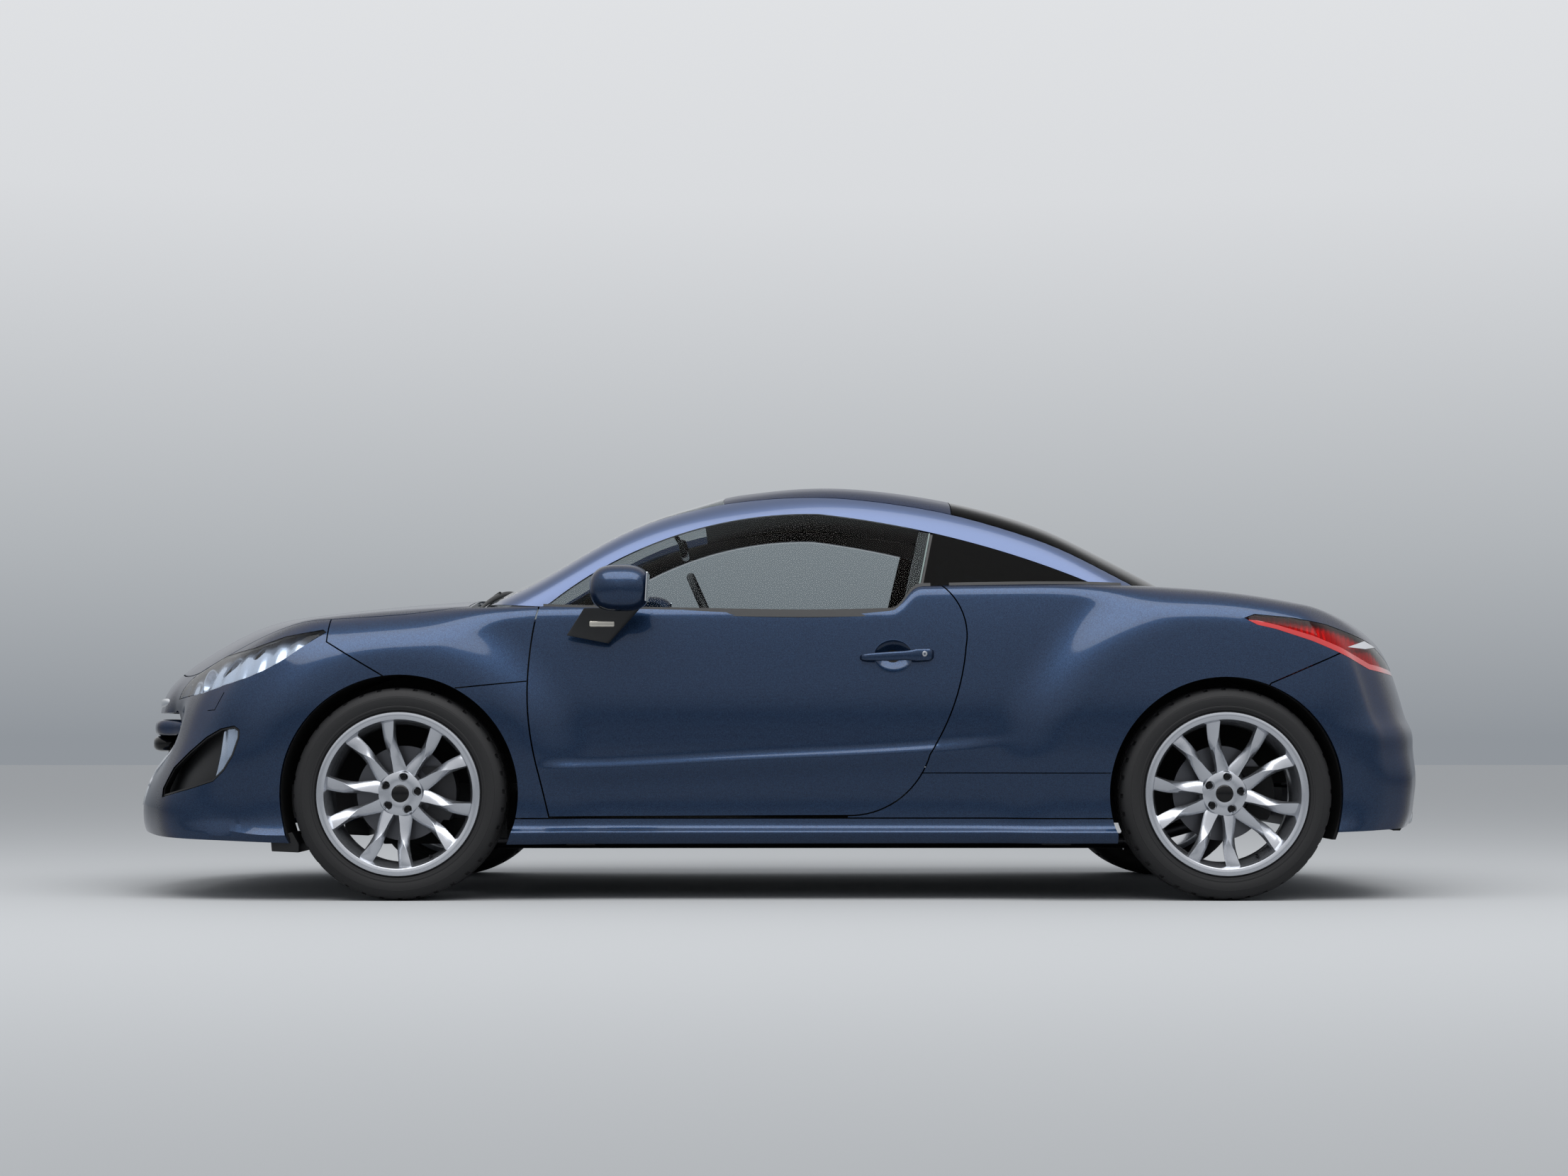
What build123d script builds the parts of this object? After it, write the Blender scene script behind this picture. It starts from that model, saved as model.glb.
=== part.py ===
from build123d import *
import math
import os

# A two-door coupe, in millimetres. +X runs to the tail, +Y to the car's right, +Z up.
# The origin is on the ground, at mid-length on the centre plane.

# ---------------------------------------------------------------- driving sizes
overall_length = 4287
wheelbase = 2612
front_overhang = 957
track_front = 1580
track_rear = 1593
ground_clearance = 172

nose_x = -overall_length / 2
tail_x = overall_length / 2
front_axle_x = nose_x + front_overhang
rear_axle_x = front_axle_x + wheelbase

tyre_radius = 335.5
tyre_width = 235
rim_flange_radius = 259
rim_seat_radius = 241
rim_width = 226
rim_wall = 9
disc_radius = 151
disc_thickness = 26
disc_inset = 42            # disc's middle plane, inboard of the wheel's middle plane
hub_radius = 72
hub_face_offset = 62       # spoke face, outboard of the wheel's middle plane
bolt_circle_radius = 54
spoke_pairs = 5
axle_z = tyre_radius

arch_radius_front = 378
arch_radius_rear = 371
panel_gap = 5
door_gap = 8               # leaves the thick door its swing
glass_thickness = 6
frame_thickness = 38       # roof arches and roof panel
skin_side = 48             # bumpers and lids, through their beams
skin_top = 30
wall_inner_y = 745         # inner face of the doors
well_inner_y = 660         # inner face of fenders and quarters
house_inner_y = 425        # inner end of the wheel houses
liner_thickness = 10
liner_outer_y = 850
far = 3000                 # past every side of the car

kingpin_y = 765
door_hinge_x = -760
door_hinge_y = 868
bonnet_rear_x = -1000      # straight, and the hinge line above it
bonnet_front_gap = 9       # more room at the front edge, which swings forward as it lifts
boot_hinge_x = 1312
mouth_half_y = 500
mouth_low_z = 290
mouth_high_z = 600
bar_low_z = 464            # bumper bar across the mouth
bar_high_z = 546
slat_pitch = 42
slat_height = 12
boot_side_y = 560
boot_side_x = 1130
diffuser_half_y = 520
diffuser_top_z = 330
door_step = 16             # how far the door's inner part stops short of its skin
door_step_y = 830
arm_end_y = 698            # lower arms, clear of the discs at full lock
arm_low_z = 188
arm_top_z = 215
mirror_tip_y = 1053
handle_x = 388
handle_y = 855
handle_z = 771
handle_length = 232
steering_wheel_centre = (-213, -370, 895)
steering_wheel_radius = 185
steering_rake_deg = 24

os.makedirs("parts", exist_ok=True)


# ---------------------------------------------------------------- small tools
def export(shape, node):
    found = shape if isinstance(shape, list) else [shape]
    solids = [s for item in found for s in item.solids() if s.volume > 20000]
    whole = solids[0] if len(solids) == 1 else Compound(children=solids)
    export_step(whole, f"parts/{node}.step")
    return whole


def outline(points, place):
    """Closed wire. A point is (a, b) for a line or (a_mid, b_mid, a, b) for an arc.

    place maps (a, b) to 3D.
    """
    edges = []
    at = place(*points[0])
    for point in points[1:]:
        end = place(*point[-2:])
        if len(point) == 2:
            edges.append(Edge.make_line(at, end))
        else:
            edges.append(Edge.make_three_point_arc(at, place(*point[:2]), end))
        at = end
    first = place(*points[0])
    if (at - first).length > 0.01:
        edges.append(Edge.make_line(at, first))
    return Wire(edges)


def side_prism(points, y0, y1):
    """An outline in X and Z, extruded along Y from y0 to y1."""
    face = Face(outline(points, lambda x, z: Vector(x, y0, z)))
    return Solid.extrude(face, Vector(0, y1 - y0, 0))


def plan_prism(points, z0, z1):
    """An outline in X and Y, extruded along Z from z0 to z1."""
    face = Face(outline(points, lambda x, y: Vector(x, y, z0)))
    return Solid.extrude(face, Vector(0, 0, z1 - z0))


def block(x0, x1, y0, y1, z0, z1):
    return Pos((x0 + x1) / 2, (y0 + y1) / 2, (z0 + z1) / 2) * Box(x1 - x0, y1 - y0, z1 - z0)


def cross_bar(x, z, radius, y0, y1):
    """A round bar along Y."""
    return Pos(x, (y0 + y1) / 2, z) * Rot(90, 0, 0) * Cylinder(radius, y1 - y0)


def mirrored(shape):
    return mirror(shape, about=Plane.XZ)


def rounded_section(corners, x):
    """Closed wire at x: a polygon of (y, z, radius) corners, each rounded as far as its sides allow."""
    count = len(corners)
    arcs = []
    for i in range(count):
        p = Vector(x, *corners[i][:2])
        to_a = Vector(x, *corners[i - 1][:2]) - p
        to_b = Vector(x, *corners[(i + 1) % count][:2]) - p
        half = math.radians(to_a.get_angle(to_b)) / 2
        reach = min(corners[i][2] / math.tan(half), 0.45 * to_a.length, 0.45 * to_b.length)
        radius = reach * math.tan(half)
        towards = (to_a.normalized() + to_b.normalized()).normalized()
        middle = p + towards * (radius / math.sin(half) - radius)
        arcs.append((p + to_a.normalized() * reach, middle, p + to_b.normalized() * reach))
    edges = []
    for i in range(count):
        start, middle, end = arcs[i]
        edges.append(Edge.make_three_point_arc(start, middle, end))
        edges.append(Edge.make_line(end, arcs[(i + 1) % count][0]))
    return Wire(edges)


def loft(sections):
    return Solid.make_loft(sections, ruled=False)


# ---------------------------------------------------------------- body surfaces
# Lower body, half sections: x, sill y and z, widest y and z, shoulder y, z and radius, top z at the centre.
body_table = [
    (nose_x - 40, 800, 190, 850, 520, 690, 660, 60, 690),
    (-1860, 835, 186, 872, 520, 740, 800, 90, 848),
    (-1480, 862, 182, 900, 640, 790, 876, 130, 930),
    (front_axle_x, 872, 178, 914, 700, 818, 912, 130, 962),
    (-860, 855, 174, 880, 600, 824, 938, 90, 984),
    (-480, 845, 172, 872, 500, 826, 940, 50, 980),
    (80, 845, 172, 870, 500, 828, 942, 45, 975),
    (620, 850, 172, 876, 500, 830, 972, 50, 980),
    (1000, 862, 174, 902, 560, 838, 1000, 80, 1004),
    (rear_axle_x, 880, 180, 922.5, 700, 830, 988, 110, 990),
    (1720, 868, 196, 908, 660, 790, 942, 100, 946),
    (1930, 845, 212, 872, 560, 750, 880, 80, 886),
    (tail_x + 40, 800, 225, 830, 480, 700, 784, 60, 792),
]
sill_radius = 40
flank_radius = 420
crown_radius = 5000


def body_sections(side=0, top=0):
    """The lower body's sections, drawn in by side and top."""
    wires = []
    for x, sill_y, sill_z, wide_y, wide_z, shoulder_y, shoulder_z, shoulder_r, top_z in body_table:
        half = [
            (sill_y - side, sill_z + side, sill_radius),
            (wide_y - side, wide_z, flank_radius),
            (shoulder_y - side, shoulder_z - top, shoulder_r),
        ]
        other = [(-y, z, r) for y, z, r in reversed(half)]
        wires.append(rounded_section(half + [(0, top_z - top, crown_radius)] + other, x))
    return wires


# Cabin above the belt, half sections: x, base y, rail y and z, bubble peak z, centre z.
cabin_table = [
    (-990, 792, 668, 945, 962, 968),
    (-800, 805, 645, 1012, 1056, 1070),
    (-530, 815, 605, 1156, 1214, 1228),
    (-260, 818, 585, 1264, 1314, 1320),
    (72, 818, 575, 1324, 1353, 1342),
    (377, 816, 580, 1297, 1341, 1325),
    (682, 812, 598, 1226, 1284, 1266),
    (922, 806, 620, 1140, 1204, 1188),
    (1166, 796, 645, 1040, 1092, 1078),
    (1330, 785, 665, 960, 992, 984),
]
cabin_base_z = 880
bubble_y = 300
rail_radius = 90
bubble_radius = 420


def cabin_sections(inward=0):
    wires = []
    for x, base_y, rail_y, rail_z, peak_z, centre_z in cabin_table:
        half = [
            (base_y - inward, cabin_base_z, 5),
            (rail_y - inward, rail_z - inward, rail_radius),
            (bubble_y, peak_z - inward, bubble_radius),
        ]
        other = [(-y, z, r) for y, z, r in reversed(half)]
        wires.append(rounded_section(half + [(0, centre_z - inward, bubble_radius)] + other, x))
    return wires


# Side profile at the centre plane: lip, nose, open above the bonnet and the deck, tail.
side_profile = [
    (nose_x + 80, 130),
    (nose_x + 34, 205),
    (nose_x + 5, 225, nose_x, 262),
    (nose_x, 300),
    (nose_x + 30, 430),
    (nose_x + 24, 610),
    (nose_x + 42, 690, nose_x + 110, 752),
    (-1850, 900),
    (-1850, 1500),
    (1850, 1500),
    (1850, 952),
    (tail_x - 140, 868),
    (tail_x - 96, 790),
    (tail_x - 50, 680, tail_x - 22, 550),
    (tail_x, 500),
    (tail_x, 380),
    (tail_x - 8, 290, tail_x - 40, 215),
    (tail_x - 80, 130),
]

# Plan outlines of the right half, from nose to tail: low at the bumpers, high at the lamps.
plan_low = [
    (nose_x, 0),
    (nose_x + 18, 330, nose_x + 84, 560),
    (nose_x + 205, 775, nose_x + 440, 905),
    (nose_x + 700, 935),
    (tail_x - 480, 935),
    (tail_x - 290, 905),
    (tail_x - 100, 780, tail_x - 23, 560),
    (tail_x - 5, 330, tail_x, 0),
]
plan_high = [
    (nose_x + 10, 0),
    (nose_x + 74, 330, nose_x + 150, 560),
    (nose_x + 265, 745, nose_x + 440, 905),
    (nose_x + 700, 935),
    (tail_x - 480, 935),
    (tail_x - 300, 900),
    (tail_x - 165, 740, tail_x - 88, 560),
    (tail_x - 38, 330, tail_x - 24, 0),
]
plan_low_z = 280
plan_high_z = 700


def inset_plan(half, inset):
    """The right half of a plan outline, drawn in at the nose, the tail and the side."""
    drawn = []
    for point in half:
        moved = []
        for x, y in zip(point[0::2], point[1::2]):
            moved += [x - math.copysign(inset, x), max(y - inset, 0) if y else 0]
        drawn.append(tuple(moved))
    return drawn


def plan_section(half, z):
    """A whole plan outline at z, from its right half."""
    back = []
    flat = [(p[-2], p[-1]) for p in half]
    for i in range(len(half) - 1, 0, -1):
        step = half[i]
        end = (flat[i - 1][0], -flat[i - 1][1])
        back.append(end if len(step) == 2 else (step[0], -step[1], *end))
    return outline(half + back, lambda x, y: Vector(x, y, z))


def plan_body(inset=0):
    levels = [(plan_low, 100), (plan_low, plan_low_z), (plan_high, plan_high_z), (plan_high, 1500)]
    return Solid.make_loft([plan_section(inset_plan(half, inset), z) for half, z in levels], ruled=True)


end_depth = 110            # nose and tail, back to the beams
lower_outer = loft(body_sections()) & side_prism(side_profile, -far, far) & plan_body()
lower_cavity = loft(body_sections(skin_side, skin_top)) & plan_body(skin_side) & block(
    nose_x + end_depth, tail_x - end_depth, -far, far, 0, far
)
cabin_outer = loft(cabin_sections())
cabin_glass_inner = loft(cabin_sections(glass_thickness))
cabin_inner = loft(cabin_sections(frame_thickness))

# ---------------------------------------------------------------- panel outlines, seen from the side
belt_z = 925
skirt_top_z = 258
pane_foot_z = cabin_base_z + 2


def door_outline(grow=0):
    """Front edge, bottom, round rear corner, swept rear edge, and a top above the belt."""
    return [
        (-759 - grow, 1100),
        (-759 - grow, 925),
        (-783 - grow, 760, -750 - grow, 400),
        (-716 - grow, skirt_top_z + door_gap - grow),
        (250, skirt_top_z + door_gap - grow),
        (405 + grow, 315 - grow, 492 + grow, 460),
        (588 + grow, 680, 607 + grow, 802),
        (603 + grow, 880, 556 + grow, 960),
        (470 + grow, 1100),
    ]


# Roof arch, its lower and upper edges, from the front foot over the crown to the rear foot.
arch_foot_z = cabin_base_z
arch_low_front = (-722, 944)
arch_low_mid = (-324, 1169)
arch_low_top = (143, 1243)
arch_low_back = (585, 1160)
arch_low_rear = (1071, 989)
arch_high_front = (-960, 942)
arch_high_mid = (-545, 1142)
arch_high_top = (33, 1316)
arch_high_back = (715, 1214)
arch_high_rear = (1282, 985)
windscreen_top_x = -178
rear_window_x = 578
b_post_slope = 0.22            # pane joint behind the door, leaning back as it rises
b_post_x = 443


def under_arch(drop):
    """The side opening below the roof arch, drop below its lower edge."""
    return [
        (-850 + drop, pane_foot_z),
        (arch_low_front[0] + drop, arch_low_front[1] - drop),
        (arch_low_mid[0], arch_low_mid[1] - drop, arch_low_top[0], arch_low_top[1] - drop),
        (arch_low_back[0], arch_low_back[1] - drop, arch_low_rear[0] - drop, arch_low_rear[1] - drop),
        (1290 - drop, pane_foot_z),
    ]


over_arch = [
    (-1200, 860),
    (-1090, 860),
    arch_high_front,
    (*arch_high_mid, *arch_high_top),
    (*arch_high_back, *arch_high_rear),
    (1400, 930),
    (1400, 1500),
    (-1200, 1500),
]
whole_arch = [
    (-1090, arch_foot_z),
    arch_high_front,
    (*arch_high_mid, *arch_high_top),
    (*arch_high_back, *arch_high_rear),
    (1380, arch_foot_z),
]

headlamp_outline = [
    (-1985, 600),
    (-1935, 690, -1882, 722),
    (-1770, 786, -1603, 824),
    (-1458, 856),
    (-1438, 848),
    (-1557, 764),
    (-1700, 686, -1848, 655),
]
fog_outline = [
    (-1700, 545),
    (-1676, 530),
    (-1690, 480),
    (-1712, 428),
    (-1750, 390),
    (-1736, 456),
    (-1720, 520),
]
side_intake_outline = [
    (-1700, 545),
    (-1750, 532),
    (-1805, 505),
    (-1865, 460),
    (-1925, 415),
    (-1965, 350),
    (-1965, 322),
    (-1850, 352),
    (-1760, 380),
    (-1712, 428),
    (-1690, 480),
    (-1676, 530),
]
tail_lamp_outline = [
    (1491, 892),
    (1523, 904),
    (1645, 893),
    (1761, 872),
    (1850, 845),
    (1931, 818),
    (2002, 769),
    (2075, 712),
    (1975, 722),
    (1905, 732),
    (1795, 781),
    (1702, 820),
    (1587, 858),
    (1530, 872),
]
fender_outline = [
    (-1425, 1100),
    (-1425, 817),
    (-1236, 706),
    (-1186, 500),
    (-900, skirt_top_z),
    (-700, skirt_top_z),
    (-700, 1100),
]
quarter_outline = [
    (230, 1100),
    (230, skirt_top_z),
    (1100, skirt_top_z),
    (rear_axle_x, 500),
    (1566, 684),
    (1795, 781),
    (1905, 748),
    (tail_x + 60, 700),
    (tail_x + 60, 1100),
]
skirt_outline = [
    (-900, 120),
    (1100, 120),
    (1100, skirt_top_z),
    (-900, skirt_top_z),
]
front_bumper_outline = [
    (-1425, 1100),
    (-1425, 817),
    (-1236, 706),
    (-1186, 500),
    (-1480, 240),
    (-1480, 100),
    (nose_x - 60, 100),
    (nose_x - 60, 1100),
]
rear_bumper_outline = [
    (1566, 684),
    (1795, 781),
    (1905, 748),
    (tail_x + 60, 700),
    (tail_x + 60, 100),
    (1700, 100),
    (rear_axle_x, 500),
]

# Bonnet and boot lid, right half of the plan outline.
bonnet_front_x = nose_x + 118
boot_front_x = boot_hinge_x
boot_rear_x = tail_x + 60
boot_low_z = 704


def bonnet_prism(grow=0):
    half = [
        (bonnet_front_x - grow, 0),
        (bonnet_front_x + 30 - grow, 300, bonnet_front_x + 130 - grow, 520 + grow),
        (-1640, 690 + grow, bonnet_rear_x + grow, 735 + grow),
        (bonnet_rear_x + grow, 0),
    ]
    return plan_halves(half, 650, 1300)


def boot_prism(grow=0):
    half = [
        (boot_front_x - grow, 0),
        (boot_front_x - grow, 560 + grow),
        (1650, 565 + grow, 1920, 540 + grow),
        (boot_rear_x, 470 + grow),
        (boot_rear_x, 0),
    ]
    return plan_halves(half, boot_low_z - grow, 1300)


def plan_halves(half, z0, z1):
    face = Face(plan_section(half, z0))
    return Solid.extrude(face, Vector(0, 0, z1 - z0))


def wheel_wells():
    cuts = []
    for x, radius in ((front_axle_x, arch_radius_front), (rear_axle_x, arch_radius_rear)):
        for side in (-1, 1):
            inner, lip, outer = side * house_inner_y, side * liner_outer_y, side * far
            cuts.append(cross_bar(x, axle_z, radius + liner_thickness, min(inner, lip), max(inner, lip)))
            cuts.append(cross_bar(x, axle_z, radius, min(lip, outer), max(lip, outer)))
    return cuts


def both(points, y_inner):
    """A side outline on both sides of the car, outboard of y_inner."""
    return [side_prism(points, y_inner, far), side_prism(points, -far, -y_inner)]


shell = lower_outer - lower_cavity
wells = wheel_wells()
bonnet_cut = bonnet_prism(panel_gap)
nose_cut = Pos(-bonnet_front_gap, 0, 0) * bonnet_cut
boot_cut = boot_prism(panel_gap)
door_cut = side_prism(door_outline(door_gap), 0, far)
head_cut = both(headlamp_outline, 470)
tail_cut = both(tail_lamp_outline, 500)
intake_cut = both(side_intake_outline, 520)
above = block(-far, far, -far, far, pane_foot_z, 1600)

# ---------------------------------------------------------------- outer panels
right_half = lower_outer & block(-far, far, 0, far, 0, far)
fender_zone = side_prism(fender_outline, well_inner_y, far)
fender = (right_half & fender_zone) - [*wells, door_cut, bonnet_cut, head_cut[0], cabin_outer]
export([fender, mirrored(fender)], "front_fenders")

quarter_zone = side_prism(quarter_outline, boot_side_y, far) - [
    block(0, boot_side_x, 0, well_inner_y, 0, far),
    block(0, far, 0, well_inner_y, 0, 700),
]
quarter = (right_half & quarter_zone) - [*wells, door_cut, boot_cut, tail_cut[0], cabin_outer]
export([quarter, mirrored(quarter)], "quarter_panels")

skirt = (right_half & side_prism(skirt_outline, 790, far)) - wells
export([skirt, mirrored(skirt)], "side_skirts")

mouth = block(nose_x - 60, nose_x + 150, -mouth_half_y, mouth_half_y, mouth_low_z, mouth_high_z)
front_bumper = (shell & side_prism(front_bumper_outline, -far, far)) - [
    *wells, bonnet_cut, nose_cut, *head_cut, *intake_cut, mouth
]
export(front_bumper, "front_bumper")

under_tail = block(0, tail_x - 170, -640, 640, 0, diffuser_top_z)
diffuser_zone = block(tail_x - 170, far, -diffuser_half_y, diffuser_half_y, 0, diffuser_top_z)
rear_bumper = (shell & side_prism(rear_bumper_outline, -far, far)) - [
    *wells, boot_cut, *tail_cut, diffuser_zone, under_tail
]
export(rear_bumper, "rear_bumper")

bonnet = (shell & bonnet_prism()) - head_cut
export(bonnet, "bonnet")
boot_lid = (shell & boot_prism()) - [*tail_cut, cabin_outer]
export(boot_lid, "boot_lid")

head_lamps = [(shell & zone) - bonnet_cut for zone in both(headlamp_outline, 470)]
fog_lamps = [(lower_outer & zone) - lower_cavity for zone in both(fog_outline, 560)]
export(head_lamps + fog_lamps, "front_lamps")
tail_lamps = [(shell & zone) - boot_cut for zone in both(tail_lamp_outline, 500)]
export(tail_lamps, "tail_lamps")

# ---------------------------------------------------------------- doors
inner_door = side_prism(door_outline(-door_step), wall_inner_y, door_step_y)
outer_door = side_prism(door_outline(), door_step_y, far)
door_right = (right_half & (inner_door + outer_door)) - cabin_outer
handle = Pos(handle_x, handle_y, handle_z) * Box(handle_length, 24, 26)
door_right = door_right + handle
export(door_right, "door_right")
export(mirrored(door_right), "door_left")

pane = cabin_outer - cabin_glass_inner
frame_shell = cabin_outer - cabin_inner
joint_top = (b_post_x + b_post_slope * 300, pane_foot_z + 300)
joint_foot = (b_post_x, pane_foot_z)
ahead_of_post = [
    (-1000, 700),
    (b_post_x, 700),
    joint_foot,
    joint_top,
    (-1000, joint_top[1] + 400),
]
behind_post = [
    (b_post_x, 700),
    (2000, 700),
    (2000, 1400),
    (joint_top[0] + 60, 1400),
    joint_top,
    joint_foot,
]
side_pane = pane & side_prism(under_arch(panel_gap), 300, far)
door_glass_right = side_pane & side_prism(ahead_of_post, 0, far)
quarter_pane = pane & side_prism(under_arch(0), 300, far)
quarter_pane = quarter_pane & Pos(door_gap, 0, 0) * side_prism(behind_post, 0, far)
export(door_glass_right, "door_glass_right")
export(mirrored(door_glass_right), "door_glass_left")
export([quarter_pane, mirrored(quarter_pane)], "quarter_glass")

# ---------------------------------------------------------------- roof
roof_zone = side_prism(over_arch, -far, far)
arch_zone = side_prism(whole_arch, 380, far) - side_prism(under_arch(0), 0, far)
roof_arch = frame_shell & arch_zone
export([roof_arch, mirrored(roof_arch)], "roof_arches")
windscreen = (pane & roof_zone & block(-far, windscreen_top_x, -far, far, 0, far)) - lower_outer
export(windscreen, "windscreen")
rear_window_end = boot_front_x - 8
rear_window = (pane & roof_zone & block(rear_window_x, rear_window_end, -far, far, 0, far)) - lower_outer
export(rear_window, "rear_window")
roof_panel = frame_shell & roof_zone & block(windscreen_top_x, rear_window_x, -far, far, 0, far)
export(roof_panel, "roof_panel")
print("panels done")

# ---------------------------------------------------------------- grille and intake backs
mouth_x = nose_x + end_depth
grille = block(mouth_x - 16, mouth_x, -mouth_half_y, mouth_half_y, mouth_low_z, mouth_high_z)
slat_zs = [mouth_low_z + slat_pitch * (i + 0.5) for i in range(7)]
slats = [block(mouth_x - 60, mouth_x - 16, -mouth_half_y, mouth_half_y, z, z + slat_height)
         for z in slat_zs if not bar_low_z - slat_height < z < bar_high_z]
bar = block(nose_x - 20, mouth_x - 16, -mouth_half_y, mouth_half_y, bar_low_z, bar_high_z) & plan_body()
grille = grille + [*slats, bar]
intake_back = Pos(-1815, 748, 440) * Rot(0, 0, 25) * Box(330, 14, 270)
intake_back = intake_back & lower_cavity
export([grille, intake_back, mirrored(intake_back)], "grille")

# ---------------------------------------------------------------- structure
floor_z = 180
floor_top_z = 206
sill_y = 740
tunnel_y = 110
tunnel_top_z = 330
bulkhead_x = -890
cabin_rear_x = 1040
boot_floor_z = 380
boot_floor_top_z = 402
tail_panel_x = tail_x - end_depth
boot_wall_end_x = tail_panel_x - 13
sill_top_z = skirt_top_z
jack_pad_x = (-620, 900)
jack_pad_y = 760
jack_pad_depth = 10

floor_pan = block(bulkhead_x, cabin_rear_x, -sill_y, sill_y, floor_z, floor_top_z)
floor_pan = floor_pan + [
    block(-800, 1050, sill_y - 40, 790, floor_z, sill_top_z),
    block(-800, 1050, -790, 40 - sill_y, floor_z, sill_top_z),
    block(bulkhead_x, 780, -tunnel_y, tunnel_y, floor_top_z, tunnel_top_z),
    block(760, 786, -well_inner_y, well_inner_y, floor_top_z, boot_floor_top_z),
    block(760, tail_panel_x, -house_inner_y, house_inner_y, boot_floor_z, boot_floor_top_z),
    block(760, 1040, -well_inner_y, well_inner_y, boot_floor_z, boot_floor_top_z),
    block(tail_panel_x - 26, tail_panel_x, -boot_side_y, boot_side_y, 310, boot_low_z - 46) & lower_cavity,
    block(1350, boot_wall_end_x, -house_inner_y, -house_inner_y + 26, boot_floor_top_z, 700),
    block(1350, boot_wall_end_x, house_inner_y - 26, house_inner_y, boot_floor_top_z, 700),
]
floor_pan = floor_pan - wells
jack_pads = [
    block(x - 45, x + 45, y - 25, y + 25, floor_z - jack_pad_depth, floor_z + 4)
    for x in jack_pad_x for y in (-jack_pad_y, jack_pad_y)
]
export(floor_pan + jack_pads, "floor_pan")

rail_inner_y = 330
rail_rear_x = bulkhead_x - 24
bumper_beam = block(mouth_x, mouth_x + 30, -520, 520, 380, 470) & lower_cavity
front_frame = bumper_beam + [
    block(mouth_x + 20, rail_rear_x, rail_inner_y, house_inner_y, 380, 470),
    block(mouth_x + 20, rail_rear_x, -house_inner_y, -rail_inner_y, 380, 470),
    block(-1300, -1080, -house_inner_y, house_inner_y, 160, 240),
    block(-1240, -1140, rail_inner_y + 20, house_inner_y, 200, 400),
    block(-1240, -1140, -house_inner_y, -rail_inner_y - 20, 200, 400),
    block(front_axle_x - 30, front_axle_x + 30, -arm_end_y, arm_end_y, arm_low_z, arm_top_z),
]
export(front_frame, "front_frame")

engine = block(-1640, -1020, -rail_inner_y, rail_inner_y, 242, 800)
export(engine, "engine_block")

cowl_zone = block(bonnet_rear_x, bulkhead_x, -well_inner_y, well_inner_y, 850, far)
cowl = (lower_outer & cowl_zone) - [cabin_outer, bonnet_cut]
bulkhead = block(rail_rear_x, bulkhead_x, -well_inner_y, well_inner_y, floor_z, 852)
lugs = [block(bonnet_rear_x, bonnet_rear_x + 10, y, y + 40, 860, 925) for y in (-600, 560)]
export((bulkhead + [cowl, *lugs]) - wells, "cowl_panel")

# ---------------------------------------------------------------- cabin
dash_profile = [
    (bulkhead_x, 870),
    (-640, 905),
    (-520, 860, -490, 780),
    (-560, 640),
    (-760, 600),
    (bulkhead_x, 600),
]
column_tilt = Rot(0, -steering_rake_deg, 0)
wheel_x, wheel_y, wheel_z = steering_wheel_centre
column = Pos(wheel_x, wheel_y, wheel_z) * column_tilt * Pos(-235, 0, 0) * Rot(0, 90, 0) * Cylinder(32, 387)
dashboard = side_prism(dash_profile, 5 - well_inner_y, well_inner_y - 5) + column
export(dashboard, "dashboard")

steering_wheel = Pos(wheel_x, wheel_y, wheel_z) * column_tilt * (
    Rot(0, 90, 0) * Torus(steering_wheel_radius, 15)
    + Pos(-18, 0, 0) * Rot(0, 90, 0) * Cylinder(62, 44)
    + Pos(-8, 0, 0) * Box(16, 2 * steering_wheel_radius - 12, 46)
    + Pos(-8, 0, -steering_wheel_radius / 2) * Box(16, 40, steering_wheel_radius - 12)
)
export(steering_wheel, "steering_wheel")

seat_inner_y = 130
seat_outer_y = 640
seat_profile = [
    (-90, floor_top_z),
    (-110, 330, -70, 420),
    (60, 452, 330, 402),
    (450, 700, 520, 985),
    (535, 1110, 610, 1125),
    (668, 1120, 668, 1010),
    (590, 700, 540, 330),
    (520, floor_top_z),
]
front_seat = side_prism(seat_profile, seat_inner_y, seat_outer_y)
export([front_seat, mirrored(front_seat)], "front_seats")
bench_profile = [
    (786, boot_floor_top_z),
    (780, 500),
    (880, 520, 950, 480),
    (1000, 700, 1045, 880),
    (1120, 895),
    (1040, boot_floor_top_z),
]
export(side_prism(bench_profile, -600, 600), "rear_bench")

# ---------------------------------------------------------------- under the body
liner_foot_z = 190
liner_inner_foot_z = 362
disc_back = disc_inset + disc_thickness / 2
disc_front = disc_inset - disc_thickness / 2
caliper_gap = 6


def caliper(x, wheel_y):
    """Straddles the disc behind the axle."""
    outer = wheel_y - disc_front + caliper_gap + 18
    inner = wheel_y - disc_back - caliper_gap - 30
    ring = cross_bar(x, axle_z, 170, inner, outer) - [
        cross_bar(x, axle_z, 92, inner, outer),
        cross_bar(x, axle_z, disc_radius + caliper_gap, wheel_y - disc_back - caliper_gap,
                  wheel_y - disc_front + caliper_gap),
    ]
    return ring & block(x + 60, x + 200, inner, outer, axle_z - 85, axle_z + 85)


def wheel_liner(x, radius):
    ring = cross_bar(x, axle_z, radius + liner_thickness, house_inner_y, liner_outer_y)
    ring = ring - cross_bar(x, axle_z, radius, house_inner_y + liner_thickness, liner_outer_y)
    low = block(x - 600, x + 600, 0, far, -far, liner_foot_z)
    inner_low = block(x - 600, x + 600, 0, well_inner_y, -far, liner_inner_foot_z)
    return ring - [low, inner_low]


liners = [wheel_liner(front_axle_x, arch_radius_front), wheel_liner(rear_axle_x, arch_radius_rear)]
export(liners + [mirrored(liner) for liner in liners], "wheel_liners")

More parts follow.
